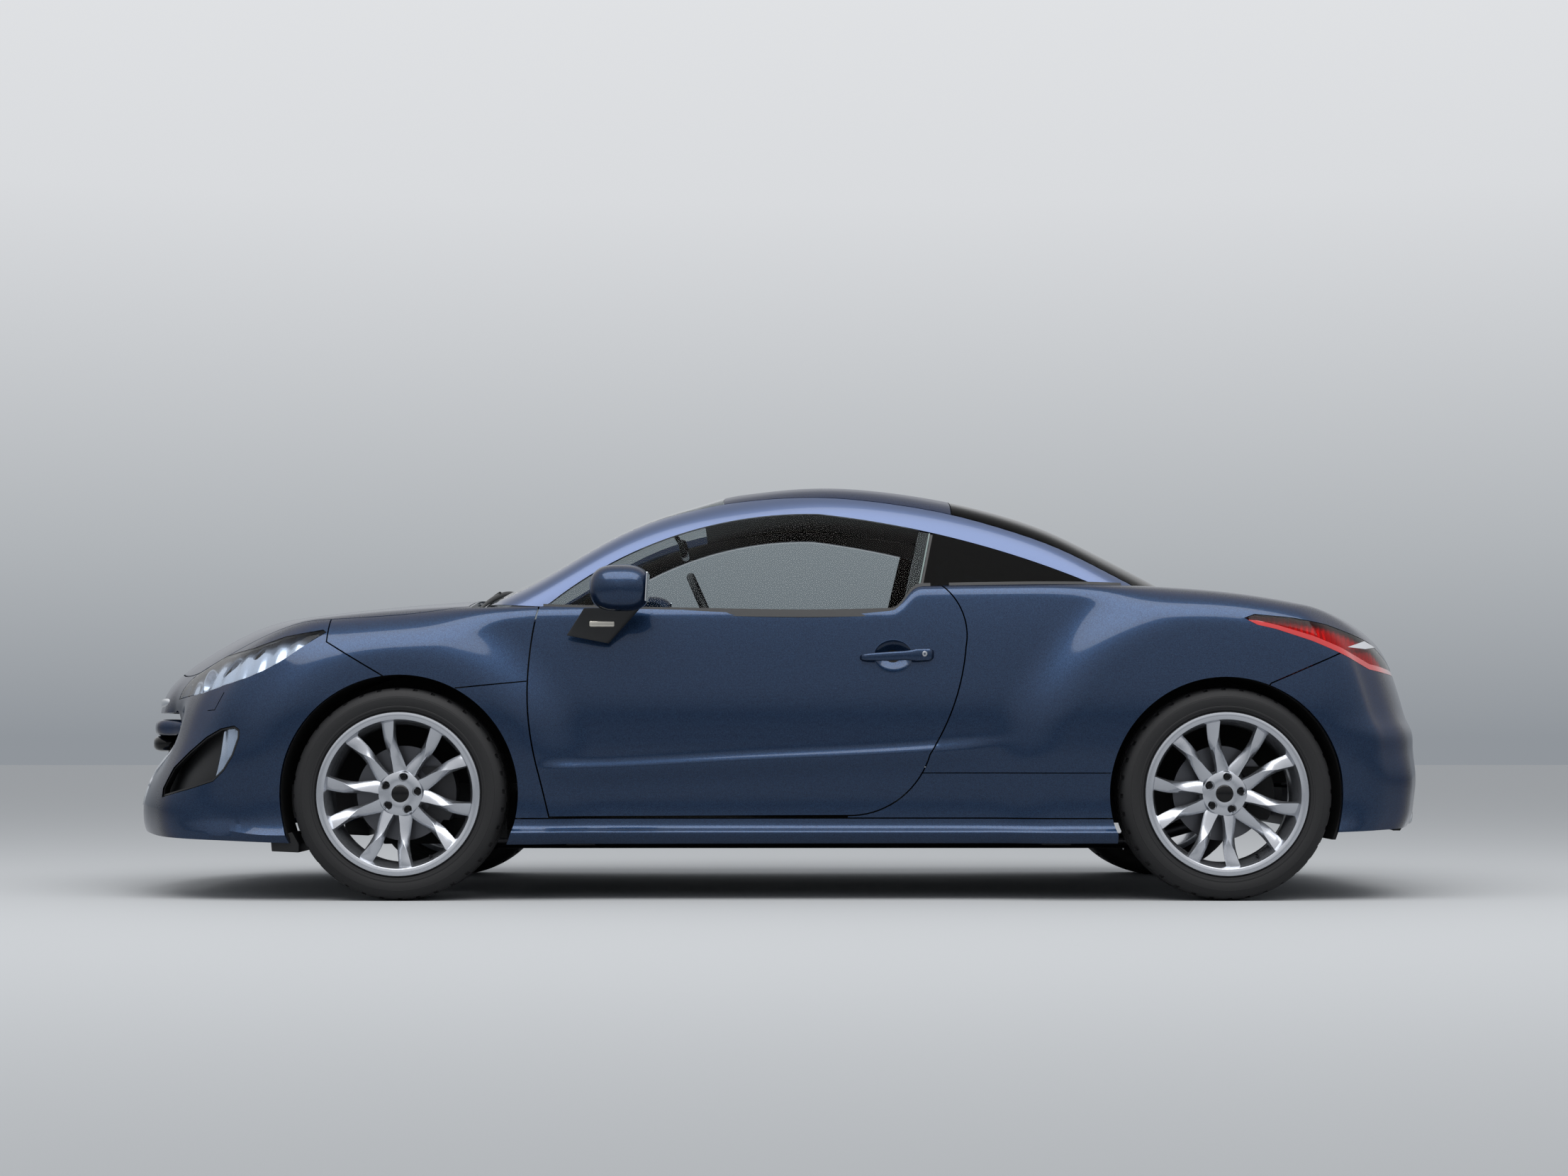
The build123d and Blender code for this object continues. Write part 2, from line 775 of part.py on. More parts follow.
beam_x = rear_axle_x - 290
rear_wheel_y = track_rear / 2
front_wheel_y = track_front / 2
arm_inner_y = 560
arm_outer_y = 620
trailing_arm = block(beam_x - 180, rear_axle_x + 50, arm_inner_y, arm_outer_y, 236, 350)
spindle = cross_bar(rear_axle_x, axle_z, 45, arm_outer_y - 10, rear_wheel_y - disc_back)
rear_caliper = caliper(rear_axle_x, rear_wheel_y)
caliper_tie = block(rear_axle_x, rear_axle_x + 120, arm_outer_y - 8, rear_wheel_y - disc_back - caliper_gap,
                    axle_z - 30, axle_z + 10)
arm_bush = block(beam_x - 180, beam_x - 110, arm_inner_y, arm_outer_y, 340, boot_floor_z)
right_rear = trailing_arm + [spindle, rear_caliper, caliper_tie, arm_bush]
left_rear = mirrored(right_rear)
rear_axle = block(beam_x - 45, beam_x + 45, -arm_inner_y, arm_inner_y, 236, 310) + [right_rear, left_rear]
export(rear_axle, "rear_axle")

exhaust_radius = 26
pipe_z = floor_z - exhaust_radius
muffler_z = 285
tip_radius = 34
tip_z = 262
tip_ys = (-300, -385)


def tube(a, b, radius):
    """A round bar from a to b."""
    start, end = Vector(*a), Vector(*b)
    plane = Plane(origin=start, z_dir=(end - start).normalized())
    return plane * Pos(0, 0, (end - start).length / 2) * Cylinder(radius, (end - start).length)


exhaust = tube((-1080, 0, pipe_z), (1260, 0, pipe_z), exhaust_radius) + [
    tube((1250, 0, pipe_z), (1720, 0, muffler_z), exhaust_radius),
    tube((1215, 0, pipe_z), (1290, 0, pipe_z), exhaust_radius + 6),
    block(1690, 1950, -430, 430, muffler_z - 62, muffler_z + 62),
    block(1780, 1840, -60, 60, muffler_z + 60, boot_floor_z),
    *[tube((1940, y, tip_z), (tail_x - 18, y, tip_z), tip_radius) for y in tip_ys],
]
exhaust = exhaust - [tube((1990, y, tip_z), (tail_x, y, tip_z), tip_radius - 4) for y in tip_ys]
export(exhaust, "exhaust")
tip_holes = [tube((1940, y, tip_z), (tail_x + 100, y, tip_z), tip_radius + 4) for y in tip_ys]
export((shell & diffuser_zone) - tip_holes, "rear_diffuser")

# ---------------------------------------------------------------- steering knuckles
def knuckle():
    x, y = front_axle_x, front_wheel_y
    plate = block(x - 45, x + 45, y - 110, y - disc_back - 7, arm_top_z, 450)
    tie_inner_y, tie_outer_y = y - disc_back - caliper_gap - 30, y - disc_back - 9
    tie = block(x + 30, x + 120, tie_inner_y, tie_outer_y, axle_z - 40, axle_z + 40)
    bearing = cross_bar(x, axle_z, 45, y - 100, y - disc_back)
    return plate + [tie, bearing, caliper(x, y)]


knuckle_right = knuckle()
export(knuckle_right, "knuckle_right")
export(mirrored(knuckle_right), "knuckle_left")

# ---------------------------------------------------------------- wheels, about a centre at the origin
def turned_about_y(points):
    """A closed outline of (radius, y) points, revolved about the Y axis."""
    face = Face(outline(points, lambda r, y: Vector(r, y, 0)))
    return Solid.revolve(face, 360, Axis.Y)


half_rim = rim_width / 2
flange = 8
rim_inner_radius = rim_seat_radius - rim_wall
barrel = turned_about_y([
    (rim_inner_radius, half_rim),
    (rim_flange_radius, half_rim),
    (rim_flange_radius, half_rim - flange),
    (rim_seat_radius, half_rim - flange - 2),
    (rim_seat_radius, flange + 2 - half_rim),
    (rim_flange_radius, flange - half_rim),
    (rim_flange_radius, -half_rim),
    (rim_inner_radius, -half_rim),
])
hub_back = 18


def bar_between(inner_x, inner, outer_x, outer):
    """A spoke: two rectangles (y0, y1, z0, z1) at two radii, joined."""
    wires = []
    for x, (y0, y1, z0, z1) in ((inner_x, inner), (outer_x, outer)):
        wires.append(Wire.make_polygon([(x, y0, z0), (x, y1, z0), (x, y1, z1), (x, y0, z1)], close=True))
    return Solid.make_loft(wires, ruled=True)


spokes = []
for i in range(spoke_pairs):
    for side in (-1, 1):
        inner_z, outer_z = side * 20, side * 44
        spoke = bar_between(
            hub_radius - 14, (26, hub_face_offset, inner_z - 15, inner_z + 15),
            rim_inner_radius + 4, (68, half_rim - 14, outer_z - 13, outer_z + 13),
        )
        spoke = spoke & cross_bar(0, 0, rim_inner_radius + 3, 0, half_rim)
        spokes.append(Rot(0, 360 / spoke_pairs * i + 18, 0) * spoke)
hub = cross_bar(0, 0, hub_radius, hub_back, hub_face_offset)
bolt_holes = []
for i in range(5):
    turn = Rot(0, 72 * i, 0)
    bolt_holes.append(turn * Pos(bolt_circle_radius, 0, 0) * cross_bar(0, 0, 11, hub_face_offset - 16, 200))
rim = (barrel + [hub, *spokes]) - bolt_holes

tread = tyre_radius
bead_y = half_rim - flange - 2
half_tyre = tyre_width / 2
tyre_wall = 12
tyre_side = [
    (rim_seat_radius + 1.5, bead_y),
    (rim_flange_radius + 3, bead_y + 1),
    (282, half_tyre),
    (306, half_tyre - 3),
    (tread - 12, half_tyre - 16),
    (tread - 3, half_tyre - 30),
    (tread, half_tyre - 48),
]
tyre_inside = [
    (tread - tyre_wall, half_tyre - 50),
    (300, half_tyre - 22),
    (280, half_tyre - tyre_wall),
    (rim_seat_radius + 1.5, bead_y - tyre_wall),
]
tyre = turned_about_y([
    *tyre_side,
    *[(r, -y) for r, y in reversed(tyre_side)],
    *[(r, -y) for r, y in reversed(tyre_inside)],
    *tyre_inside,
])
disc = cross_bar(0, 0, disc_radius, -disc_back, -disc_front)
disc = disc + cross_bar(0, 0, hub_radius + 2, -disc_front, hub_back)

for corner, x, y in (("front", front_axle_x, front_wheel_y), ("rear", rear_axle_x, rear_wheel_y)):
    for name, piece in (("rim", rim), ("tyre", tyre), ("brake_disc", disc)):
        placed = Pos(x, y, axle_z) * piece
        export(placed, f"{name}_{corner}_right")
        export(mirrored(placed), f"{name}_{corner}_left")

# ---------------------------------------------------------------- door mirrors
mirror_side = [
    (-584, 955),
    (-560, 1040, -500, 1055),
    (-392, 1048),
    (-392, 932),
    (-440, 916),
    (-540, 916),
]
mirror_plan = [
    (-392, 880),
    (-392, 1036),
    (-410, mirror_tip_y),
    (-470, mirror_tip_y),
    (-560, 1010, -584, 880),
]
mirror_foot = [(-650, 860), (-480, 924), (-440, 930), (-450, 950), (-560, 950), (-655, 905)]
mirror_right = (side_prism(mirror_side, 880, mirror_tip_y) & plan_prism(mirror_plan, 900, 1070)) + (
    side_prism(mirror_foot, 822, 886)
)
mirror_right = mirror_right - door_right
export(mirror_right, "mirror_right")
export(mirrored(mirror_right), "mirror_left")
print("all done")
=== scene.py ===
import bpy
import math
import numpy as np
from mathutils import Matrix, Vector


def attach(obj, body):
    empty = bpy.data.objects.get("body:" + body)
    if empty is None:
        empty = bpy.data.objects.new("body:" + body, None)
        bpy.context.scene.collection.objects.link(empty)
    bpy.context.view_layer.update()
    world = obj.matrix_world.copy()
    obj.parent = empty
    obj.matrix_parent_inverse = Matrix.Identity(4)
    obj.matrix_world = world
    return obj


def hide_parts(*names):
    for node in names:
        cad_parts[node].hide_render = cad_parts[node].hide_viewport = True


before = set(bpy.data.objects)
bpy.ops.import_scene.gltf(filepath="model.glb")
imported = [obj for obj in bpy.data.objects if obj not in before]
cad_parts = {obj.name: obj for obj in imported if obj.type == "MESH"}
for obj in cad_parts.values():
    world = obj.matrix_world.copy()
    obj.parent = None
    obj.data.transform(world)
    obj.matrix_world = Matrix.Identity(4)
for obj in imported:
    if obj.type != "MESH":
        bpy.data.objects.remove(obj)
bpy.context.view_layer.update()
mm = 0.001
print("frame loaded")


# ---- hand tools
def toLinear(hexColour, alpha=1.0):
    parts = [int(hexColour[i:i + 2], 16) / 255 for i in (1, 3, 5)]
    return tuple(c / 12.92 if c <= 0.04045 else ((c + 0.055) / 1.055) ** 2.4 for c in parts) + (alpha,)


def deselectAll():
    if bpy.context.object and bpy.context.object.mode != "OBJECT":
        bpy.ops.object.mode_set(mode="OBJECT")
    bpy.ops.object.select_all(action="DESELECT")


def pick(obj):
    deselectAll()
    obj.select_set(True)
    bpy.context.view_layer.objects.active = obj


def finishWith(obj, kind, **settings):  # adds a modifier and applies it
    pick(obj)
    modifier = obj.modifiers.new(kind.title(), kind)
    for key, value in settings.items():
        setattr(modifier, key, value)
    bpy.ops.object.modifier_apply(modifier=modifier.name)


def settle(obj, name):  # place into the mesh, object at the origin
    pick(obj)
    bpy.ops.object.transform_apply(location=True, rotation=True, scale=True)
    obj.name = name
    obj.data.name = name
    return obj


def smooth(obj, degrees=30):
    pick(obj)
    bpy.ops.object.shade_smooth_by_angle(angle=math.radians(degrees))


def dress(obj, material, body):
    obj.data.materials.clear()
    obj.data.materials.append(material)
    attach(obj, body)
    return obj


def copyOf(obj, name):
    twin = obj.copy()
    twin.data = obj.data.copy()
    twin.name = name
    twin.data.name = name
    bpy.context.collection.objects.link(twin)
    return twin


def otherSide(obj, name):  # the same piece on the car's other side
    twin = copyOf(obj, name)
    twin.scale = (1, -1, 1)
    pick(twin)
    bpy.ops.object.transform_apply(location=False, rotation=False, scale=True)
    bpy.ops.object.mode_set(mode="EDIT")
    bpy.ops.mesh.select_all(action="SELECT")
    bpy.ops.mesh.normals_make_consistent(inside=False)
    bpy.ops.object.mode_set(mode="OBJECT")
    return twin


def traceOutline(points, steps=16):  # (a, b) is a line to there, (am, bm, a, b) an arc
    traced = [tuple(points[0])]
    for point in points[1:]:
        if len(point) == 2:
            traced.append(tuple(point))
            continue
        (ax, ay), (bx, by), (cx, cy) = traced[-1], point[:2], point[2:]
        turn = 2 * (ax * (by - cy) + bx * (cy - ay) + cx * (ay - by))
        if abs(turn) < 1e-6:
            traced.append((cx, cy))
            continue
        sa, sb, sc = ax * ax + ay * ay, bx * bx + by * by, cx * cx + cy * cy
        ux = (sa * (by - cy) + sb * (cy - ay) + sc * (ay - by)) / turn
        uy = (sa * (cx - bx) + sb * (ax - cx) + sc * (bx - ax)) / turn
        start = math.atan2(ay - uy, ax - ux)
        middle = (math.atan2(by - uy, bx - ux) - start) % math.tau
        sweep = (math.atan2(cy - uy, cx - ux) - start) % math.tau
        if middle > sweep:
            sweep -= math.tau
        radius = math.hypot(ax - ux, ay - uy)
        for i in range(1, steps + 1):
            angle = start + sweep * i / steps
            traced.append((ux + radius * math.cos(angle), uy + radius * math.sin(angle)))
    return traced


def shrunk(traced, inset):  # an outline drawn in, or out where inset is negative
    pts = [p for i, p in enumerate(traced) if math.dist(p, traced[i - 1]) > 0.5]
    area = sum(pts[i - 1][0] * pts[i][1] - pts[i][0] * pts[i - 1][1] for i in range(len(pts)))
    sign = 1 if area > 0 else -1
    moved = []
    for i, (x, y) in enumerate(pts):
        (px, py), (nx, ny) = pts[i - 1], pts[(i + 1) % len(pts)]
        d1, d2 = math.dist((x, y), (px, py)), math.dist((x, y), (nx, ny))
        e1, e2 = ((x - px) / d1, (y - py) / d1), ((nx - x) / d2, (ny - y) / d2)
        n1, n2 = (-e1[1] * sign, e1[0] * sign), (-e2[1] * sign, e2[0] * sign)
        bx, by = n1[0] + n2[0], n1[1] + n2[1]
        length = max(math.hypot(bx, by), 0.3)
        reach = inset / max((n1[0] * bx + n1[1] * by) / length, 0.4)
        moved.append((x + bx / length * reach, y + by / length * reach))
    return moved


def outlineCutter(traced, plane, low, high):  # a block with that outline, seen from side, front or above
    place = {
        "side": lambda a, b, c: (a, c, b), "front": lambda a, b, c: (c, a, b), "plan": lambda a, b, c: (a, b, c),
    }
    bpy.ops.mesh.primitive_circle_add(vertices=len(traced), radius=1, fill_type="NGON")
    cutter = bpy.context.object
    for vertex, (a, b) in zip(cutter.data.vertices, traced):
        vertex.co = Vector(place[plane](a, b, low)) * mm
    reach = Vector(place[plane](0, 0, high - low)) * mm
    bpy.ops.object.mode_set(mode="EDIT")
    bpy.ops.mesh.select_all(action="SELECT")
    bpy.ops.mesh.extrude_region_move(TRANSFORM_OT_translate={"value": reach})
    bpy.ops.mesh.select_all(action="SELECT")
    bpy.ops.mesh.normals_make_consistent(inside=False)
    bpy.ops.object.mode_set(mode="OBJECT")
    return cutter


def barCutter(x, z, radius, low, high, sides=128):
    ring = [(x + radius * math.cos(math.tau * i / sides), z + radius * math.sin(math.tau * i / sides))
            for i in range(sides)]
    return outlineCutter(ring, "side", low, high)


def pointsOf(obj):
    flat = np.empty(len(obj.data.vertices) * 3)
    obj.data.vertices.foreach_get("co", flat)
    return flat.reshape(-1, 3)


def cornersOf(obj):
    points = pointsOf(obj)
    return points.min(axis=0), points.max(axis=0)


def outsideBox(points, box):
    return int(((points < box[0] - mm) | (points > box[1] + mm)).any(axis=1).sum())


def trim(obj, cutter, keep=False):  # takes the cutter's space away, or keeps only that
    before, points, box = obj.data.copy(), pointsOf(obj), cornersOf(cutter)
    whole = (points.min(axis=0), points.max(axis=0))
    tries = [(nudge, "EXACT") for nudge in (0, 0.13, -0.21, 0.34, -0.47)] + [(0, "FAST")]
    for nudge, solver in tries:  # the solver can slip on faces that nearly coincide
        cutter.location = (nudge * mm, nudge * mm, -nudge * mm)
        kind = "INTERSECT" if keep else "DIFFERENCE"
        finishWith(obj, "BOOLEAN", operation=kind, object=cutter, solver=solver)
        left = pointsOf(obj)
        if len(left) and outsideBox(left, whole) == 0:
            if keep and outsideBox(left, box) == 0:
                break
            if not keep and outsideBox(left, box) >= 0.98 * outsideBox(points, box):
                break
        print("cut again:", obj.name, nudge, solver)
        obj.data = before.copy()
    bpy.data.objects.remove(cutter)


# ---- the body's surface, in millimetres
carSize = {
    "noseX": -2143.5, "tailX": 2143.5, "frontAxleX": -1186.5, "rearAxleX": 1425.5, "axleZ": 335.5,
    "archFront": 376, "archRear": 369, "seam": 2.2,
    "crease": (13, 17, 44),  # how far out the door's crease stands, its reach above and below
    "frontFlare": (42, 400, 640), "rearFlare": (50, 530, 775),  # how far out, from and to which distance
    "kick": (70, 368, 476),  # how far the waistline steps up, from and to which x
    "hollow": (46, 520, 95),  # depth beside the mouth, height and reach
}
noseX, tailX = carSize["noseX"], carSize["tailX"]
frontAxleX, rearAxleX, axleZ = carSize["frontAxleX"], carSize["rearAxleX"], carSize["axleZ"]
seam = carSize["seam"]


def fair(points):  # smooth curve through (x, value) points
    xs = np.array([p[0] for p in points], float)
    ys = np.array([p[1] for p in points], float)
    count, h = len(xs), np.diff(xs)
    grid, right = np.eye(count), np.zeros(count)
    for i in range(1, count - 1):
        grid[i, i - 1:i + 2] = h[i - 1], 2 * (h[i - 1] + h[i]), h[i]
        right[i] = 6 * ((ys[i + 1] - ys[i]) / h[i] - (ys[i] - ys[i - 1]) / h[i - 1])
    bend = np.linalg.solve(grid, right)

    def at(x):
        x = np.clip(x, xs[0], xs[-1])
        i = np.clip(np.searchsorted(xs, x) - 1, 0, count - 2)
        t, s, w = x - xs[i], xs[i + 1] - x, h[i]
        return (bend[i] * s ** 3 + bend[i + 1] * t ** 3) / (6 * w) + (
            (ys[i] / w - bend[i] * w / 6) * s + (ys[i + 1] / w - bend[i + 1] * w / 6) * t)
    return at


def ramp(value, low, high):
    t = np.clip((value - low) / (high - low), 0, 1)
    return t * t * t * (t * (6 * t - 15) + 10)


def softMax(a, b, blend):
    h = np.maximum(blend - np.abs(a - b), 0) / blend
    return np.maximum(a, b) + h * h * blend / 4


bodyLines = {
    "halfWidth": fair([(-2300, 840), (-2000, 858), (-1700, 870), (-1186, 874), (-800, 870), (-300, 868), (200, 869),
                       (700, 874), (1100, 878), (1425, 880), (1750, 872), (2000, 850), (2300, 815)]),
    "creaseZ": fair([(-2300, 520), (-1200, 440), (-730, 415), (-100, 440), (500, 471), (900, 520), (1300, 600),
                     (1700, 640), (2300, 640)]),
    "sideProfile": fair([(100, -90), (172, -32), (192, -12), (206, -3), (215, -3), (224, -13), (234, -21),
                         (248, -25), (268, -27), (320, -28), (380, -23), (440, -14), (520, -9), (600, -7),
                         (720, -18), (850, -38), (940, -58), (1040, -88), (1200, -150)]),
    "shoulderZ": fair([(-2300, 640), (-2100, 715), (-1950, 775), (-1800, 822), (-1480, 886), (-1186, 914),
                       (-860, 928), (-480, 934), (80, 933), (450, 934), (800, 938), (1100, 936), (1425, 916),
                       (1720, 868), (1930, 808), (2120, 735), (2300, 660)]),
    "centreZ": fair([(-2300, 640), (-2100, 716), (-2000, 776), (-1880, 834), (-1760, 882), (-1480, 936),
                     (-1186, 967), (-900, 986), (-400, 996), (200, 990), (800, 992), (1100, 1000), (1295, 997),
                     (1523, 975), (1763, 934), (1900, 897), (1990, 856), (2140, 800), (2300, 740)]),
    "nosePlan": fair([(0, 0), (200, 8), (330, 24), (450, 52), (560, 90), (680, 144), (775, 208), (850, 310),
                      (905, 440), (940, 580), (1000, 900)]),
    "nosePlanHigh": fair([(0, 0), (200, 32), (330, 76), (450, 128), (560, 180), (680, 246), (745, 290), (830, 366),
                          (905, 440), (940, 560), (1000, 900)]),
    "noseProfile": fair([(100, 48), (187, 20), (207, 9), (228, 3), (255, 0), (290, 0), (350, 10), (440, 24),
                         (520, 22), (600, 18), (650, 30), (690, 54), (730, 92), (785, 160), (900, 330),
                         (1100, 700)]),
    "tailPlan": fair([(0, 0), (200, 3), (330, 8), (450, 18), (560, 36), (680, 72), (780, 122), (850, 196),
                      (905, 300), (940, 480), (1000, 900)]),
    "tailPlanHigh": fair([(0, 0), (200, 6), (330, 17), (450, 36), (560, 66), (680, 112), (760, 160), (850, 238),
                          (905, 310), (940, 460), (1000, 900)]),
    "tailProfile": fair([(100, 120), (211, 44), (250, 22), (300, 12), (380, 2), (480, 1), (544, 1), (558, 7),
                         (574, 13), (620, 24), (682, 40), (740, 60), (790, 84), (850, 132), (950, 250),
                         (1100, 450)]),
}


def bodyField(x, y, z):  # below 0 inside the body
    y = np.abs(y)
    lines = bodyLines
    above = z - lines["creaseZ"](x)
    creaseOut, creaseUp, creaseDown = carSize["crease"]
    crease = creaseOut * np.exp(-(above / np.where(above > 0, creaseUp, creaseDown)) ** 2)
    crease = crease * ramp(x, -790, -640) * (1 - ramp(x, 480, 820))
    half = lines["halfWidth"](x) + lines["sideProfile"](z) + crease
    for axleX, part in ((frontAxleX, "frontFlare"), (rearAxleX, "rearFlare")):
        flareOut, near, far = carSize[part]
        half = half + flareOut * (1 - ramp(np.hypot(x - axleX, z - axleZ), near, far))
    side = y - half
    kickUp, kickStart, kickEnd = carSize["kick"]
    kick = kickUp * ramp(x, kickStart, kickEnd)
    shoulder = lines["shoulderZ"](x) + kick
    centre = lines["centreZ"](x)
    crown = (y / 820) ** 2
    top = z - (centre + (shoulder - centre) * crown)
    high = ramp(z, 300, 720)
    noseIn = lines["nosePlan"](y) * (1 - high) + lines["nosePlanHigh"](y) * high
    tailIn = lines["tailPlan"](y) * (1 - high) + lines["tailPlanHigh"](y) * high
    deep, hollowZ, reach = carSize["hollow"]
    hollow = deep * np.exp(-((z - hollowZ) / reach) ** 2) * ramp(y, 330, 450) * (1 - ramp(y, 500, 680))
    nose = (noseX + noseIn + lines["noseProfile"](z) + hollow - x) * 0.85
    tail = (x - (tailX - tailIn - lines["tailProfile"](z))) * 0.85
    rounding = 40 + 85 * (1 - ramp(x, -1250, -700)) + 75 * ramp(x, 800, 1400) - 60 * ramp(x, 1600, 2000)
    field = softMax(side, top, rounding)
    field = softMax(field, nose, 60)
    return softMax(field, tail, 40)


cabinLines = {
    "peakZ": fair([(-1150, 850), (-1000, 957), (-800, 1056), (-530, 1208), (-260, 1305), (-80, 1334), (72, 1350),
                   (225, 1352), (377, 1339), (530, 1316), (682, 1283), (802, 1249), (922, 1205), (1044, 1146),
                   (1166, 1083), (1288, 1018), (1420, 945)]),
    "baseY": fair([(-1150, 742), (-960, 770), (-700, 800), (-300, 814), (100, 818), (600, 812), (1000, 790),
                   (1300, 752), (1450, 730)]),
}


def glassFoot(x, inset, step=36):  # half the width at which the glass meets the body
    return cabinLines["baseY"](x) - inset - step * ramp(x, *carSize["kick"][1:])


def cabinHole(inset, x0=-985, x1=1345, step=30):  # the body is open under the glass
    xs = np.linspace(x0, x1, 140)
    half = [(x, y) for x, y in zip(xs, glassFoot(xs, inset, step))]
    return outlineCutter(half + [(x, -y) for x, y in reversed(half)], "plan", 850, 1300)


def cabinField(x, y, z):
    y = np.abs(y)
    rise = z - 900
    side = (y - (cabinLines["baseY"](x) - 0.40 * rise - 0.00038 * rise * np.abs(rise))) * 0.9
    glassCrown = 46 * (y / 600) ** 2
    bubble = 18 * (1 - np.clip(y / 300, 0, 1) ** 2) ** 2 + 34 * (np.maximum(y - 300, 0) / 270) ** 2
    fold = ramp(x, -330, -90)
    top = z - (cabinLines["peakZ"](x) - glassCrown * (1 - fold) - bubble * fold)
    return softMax(side, top, 62)


def skinPatch(name, counts, rays, field, thickness):  # a sheet where rays from inside meet the field's surface
    nu, nv = counts
    bpy.ops.mesh.primitive_grid_add(x_subdivisions=nu, y_subdivisions=nv, size=2)
    obj = bpy.context.object
    flat = np.empty(len(obj.data.vertices) * 3)
    obj.data.vertices.foreach_get("co", flat)
    flat = flat.reshape(-1, 3)
    u, v = (flat[:, 0] + 1) / 2, (flat[:, 1] + 1) / 2
    origin, direction = rays(u, v)
    near, far = np.zeros(len(u)), np.full(len(u), 1800.0)
    for _ in range(42):
        middle = (near + far) / 2
        inside = field(*(origin[k] + direction[k] * middle for k in range(3))) < 0
        near, far = np.where(inside, middle, near), np.where(inside, far, middle)
    points = np.stack([origin[k] + direction[k] * near for k in range(3)], axis=1) * mm
    obj.data.vertices.foreach_set("co", points.ravel())
    obj.data.update()
    outward = sum(direction[k][0] * obj.data.polygons[0].normal[k] for k in range(3))
    pick(obj)
    if outward < 0:
        bpy.ops.object.mode_set(mode="EDIT")
        bpy.ops.mesh.select_all(action="SELECT")
        bpy.ops.mesh.flip_normals()
        bpy.ops.object.mode_set(mode="OBJECT")
    finishWith(obj, "SOLIDIFY", thickness=thickness * mm, offset=-1)
    both = pointsOf(obj)  # the inner face is set back along the rays, which never cross
    both[len(points):] = points - np.stack(direction, axis=1) * thickness * mm
    obj.data.vertices.foreach_set("co", both.ravel())
    obj.data.update()
    return settle(obj, name)


def flankRays(x0, x1, low, high, y=470, z=600, noseSwing=0, tailSwing=0, spread=600, follow=0):
    # fans out from a line along the car to its right, and swings round at the line's ends;
    # with follow, that share of the rows lies below the crease and one row runs along it
    def rays(u, v):
        noseArc, tailArc = math.radians(noseSwing) * spread, math.radians(tailSwing) * spread
        along = u * (noseArc + x1 - x0 + tailArc) - noseArc
        swing = (np.minimum(along, 0) + np.maximum(along - (x1 - x0), 0)) / spread
        angle = low + (high - low) * v
        if follow:
            x = x0 + np.clip(along, 0, x1 - x0)
            crease = np.degrees(np.arctan2(bodyLines["creaseZ"](x) - z, 868 - y))
            under, over = v / follow, (v - follow) / (1 - follow)
            angle = np.where(v < follow, crease + (low - crease) * np.maximum(1 - under, 0) ** 1.25,
                             crease + (high - crease) * np.maximum(over, 0) ** 1.25)
        angle = np.radians(angle)
        zero = np.zeros_like(u)
        return (x0 + np.clip(along, 0, x1 - x0), zero + y, zero + z), (
            np.sin(swing) * np.cos(angle), np.cos(swing) * np.cos(angle), np.sin(angle))
    return rays


def wrapRays(xSide, xEnd, post, z, low, high, spread=600):  # round one end of the car, from side to side
    def rays(u, v):
        back, arc = abs(xEnd - xSide), math.pi / 2 * spread
        forward = 1 if xEnd > xSide else -1
        s = (np.abs(2 * u - 1)) * (post + arc + back)  # from the middle outwards
        side = np.sign(2 * u - 1) + (u == 0.5)
        swing = np.clip((s - post) / spread, 0, math.pi / 2)
        angle = np.radians(low + (high - low) * v)
        x = xEnd - forward * np.maximum(s - post - arc, 0)
        zero = np.zeros_like(u)
        return (x, side * np.minimum(s, post), zero + z), (
            forward * np.cos(swing) * np.cos(angle), side * np.sin(swing) * np.cos(angle), np.sin(angle))
    return rays


def lidRays(x0, x1, halfY, z):
    def rays(u, v):
        zero = np.zeros_like(u)
        return (x0 + (x1 - x0) * u, -halfY + 2 * halfY * v, zero + z), (zero, zero, zero + 1)
    return rays


def tailRays(x, z, halfY, low, high):  # fans out from a cross bar, from straight back to straight up
    def rays(u, v):
        angle = np.radians(low + (high - low) * u)
        zero = np.zeros_like(u)
        return (zero + x, -halfY + 2 * halfY * v, zero + z), (np.cos(angle), zero, np.sin(angle))
    return rays


noseRays = wrapRays(-1180, -1620, 300, 480, -38, 62)
rearRays = wrapRays(1420, 1700, 300, 480, -38, 50)
headlampRays = flankRays(-1640, -1400, -8, 70, 260, 500, 76)
tailLampRays = flankRays(1460, 1650, -8, 62, 260, 560, 0, 74)
flanks = ((450, 1500), (-1500, -450))  # right and left of the middle


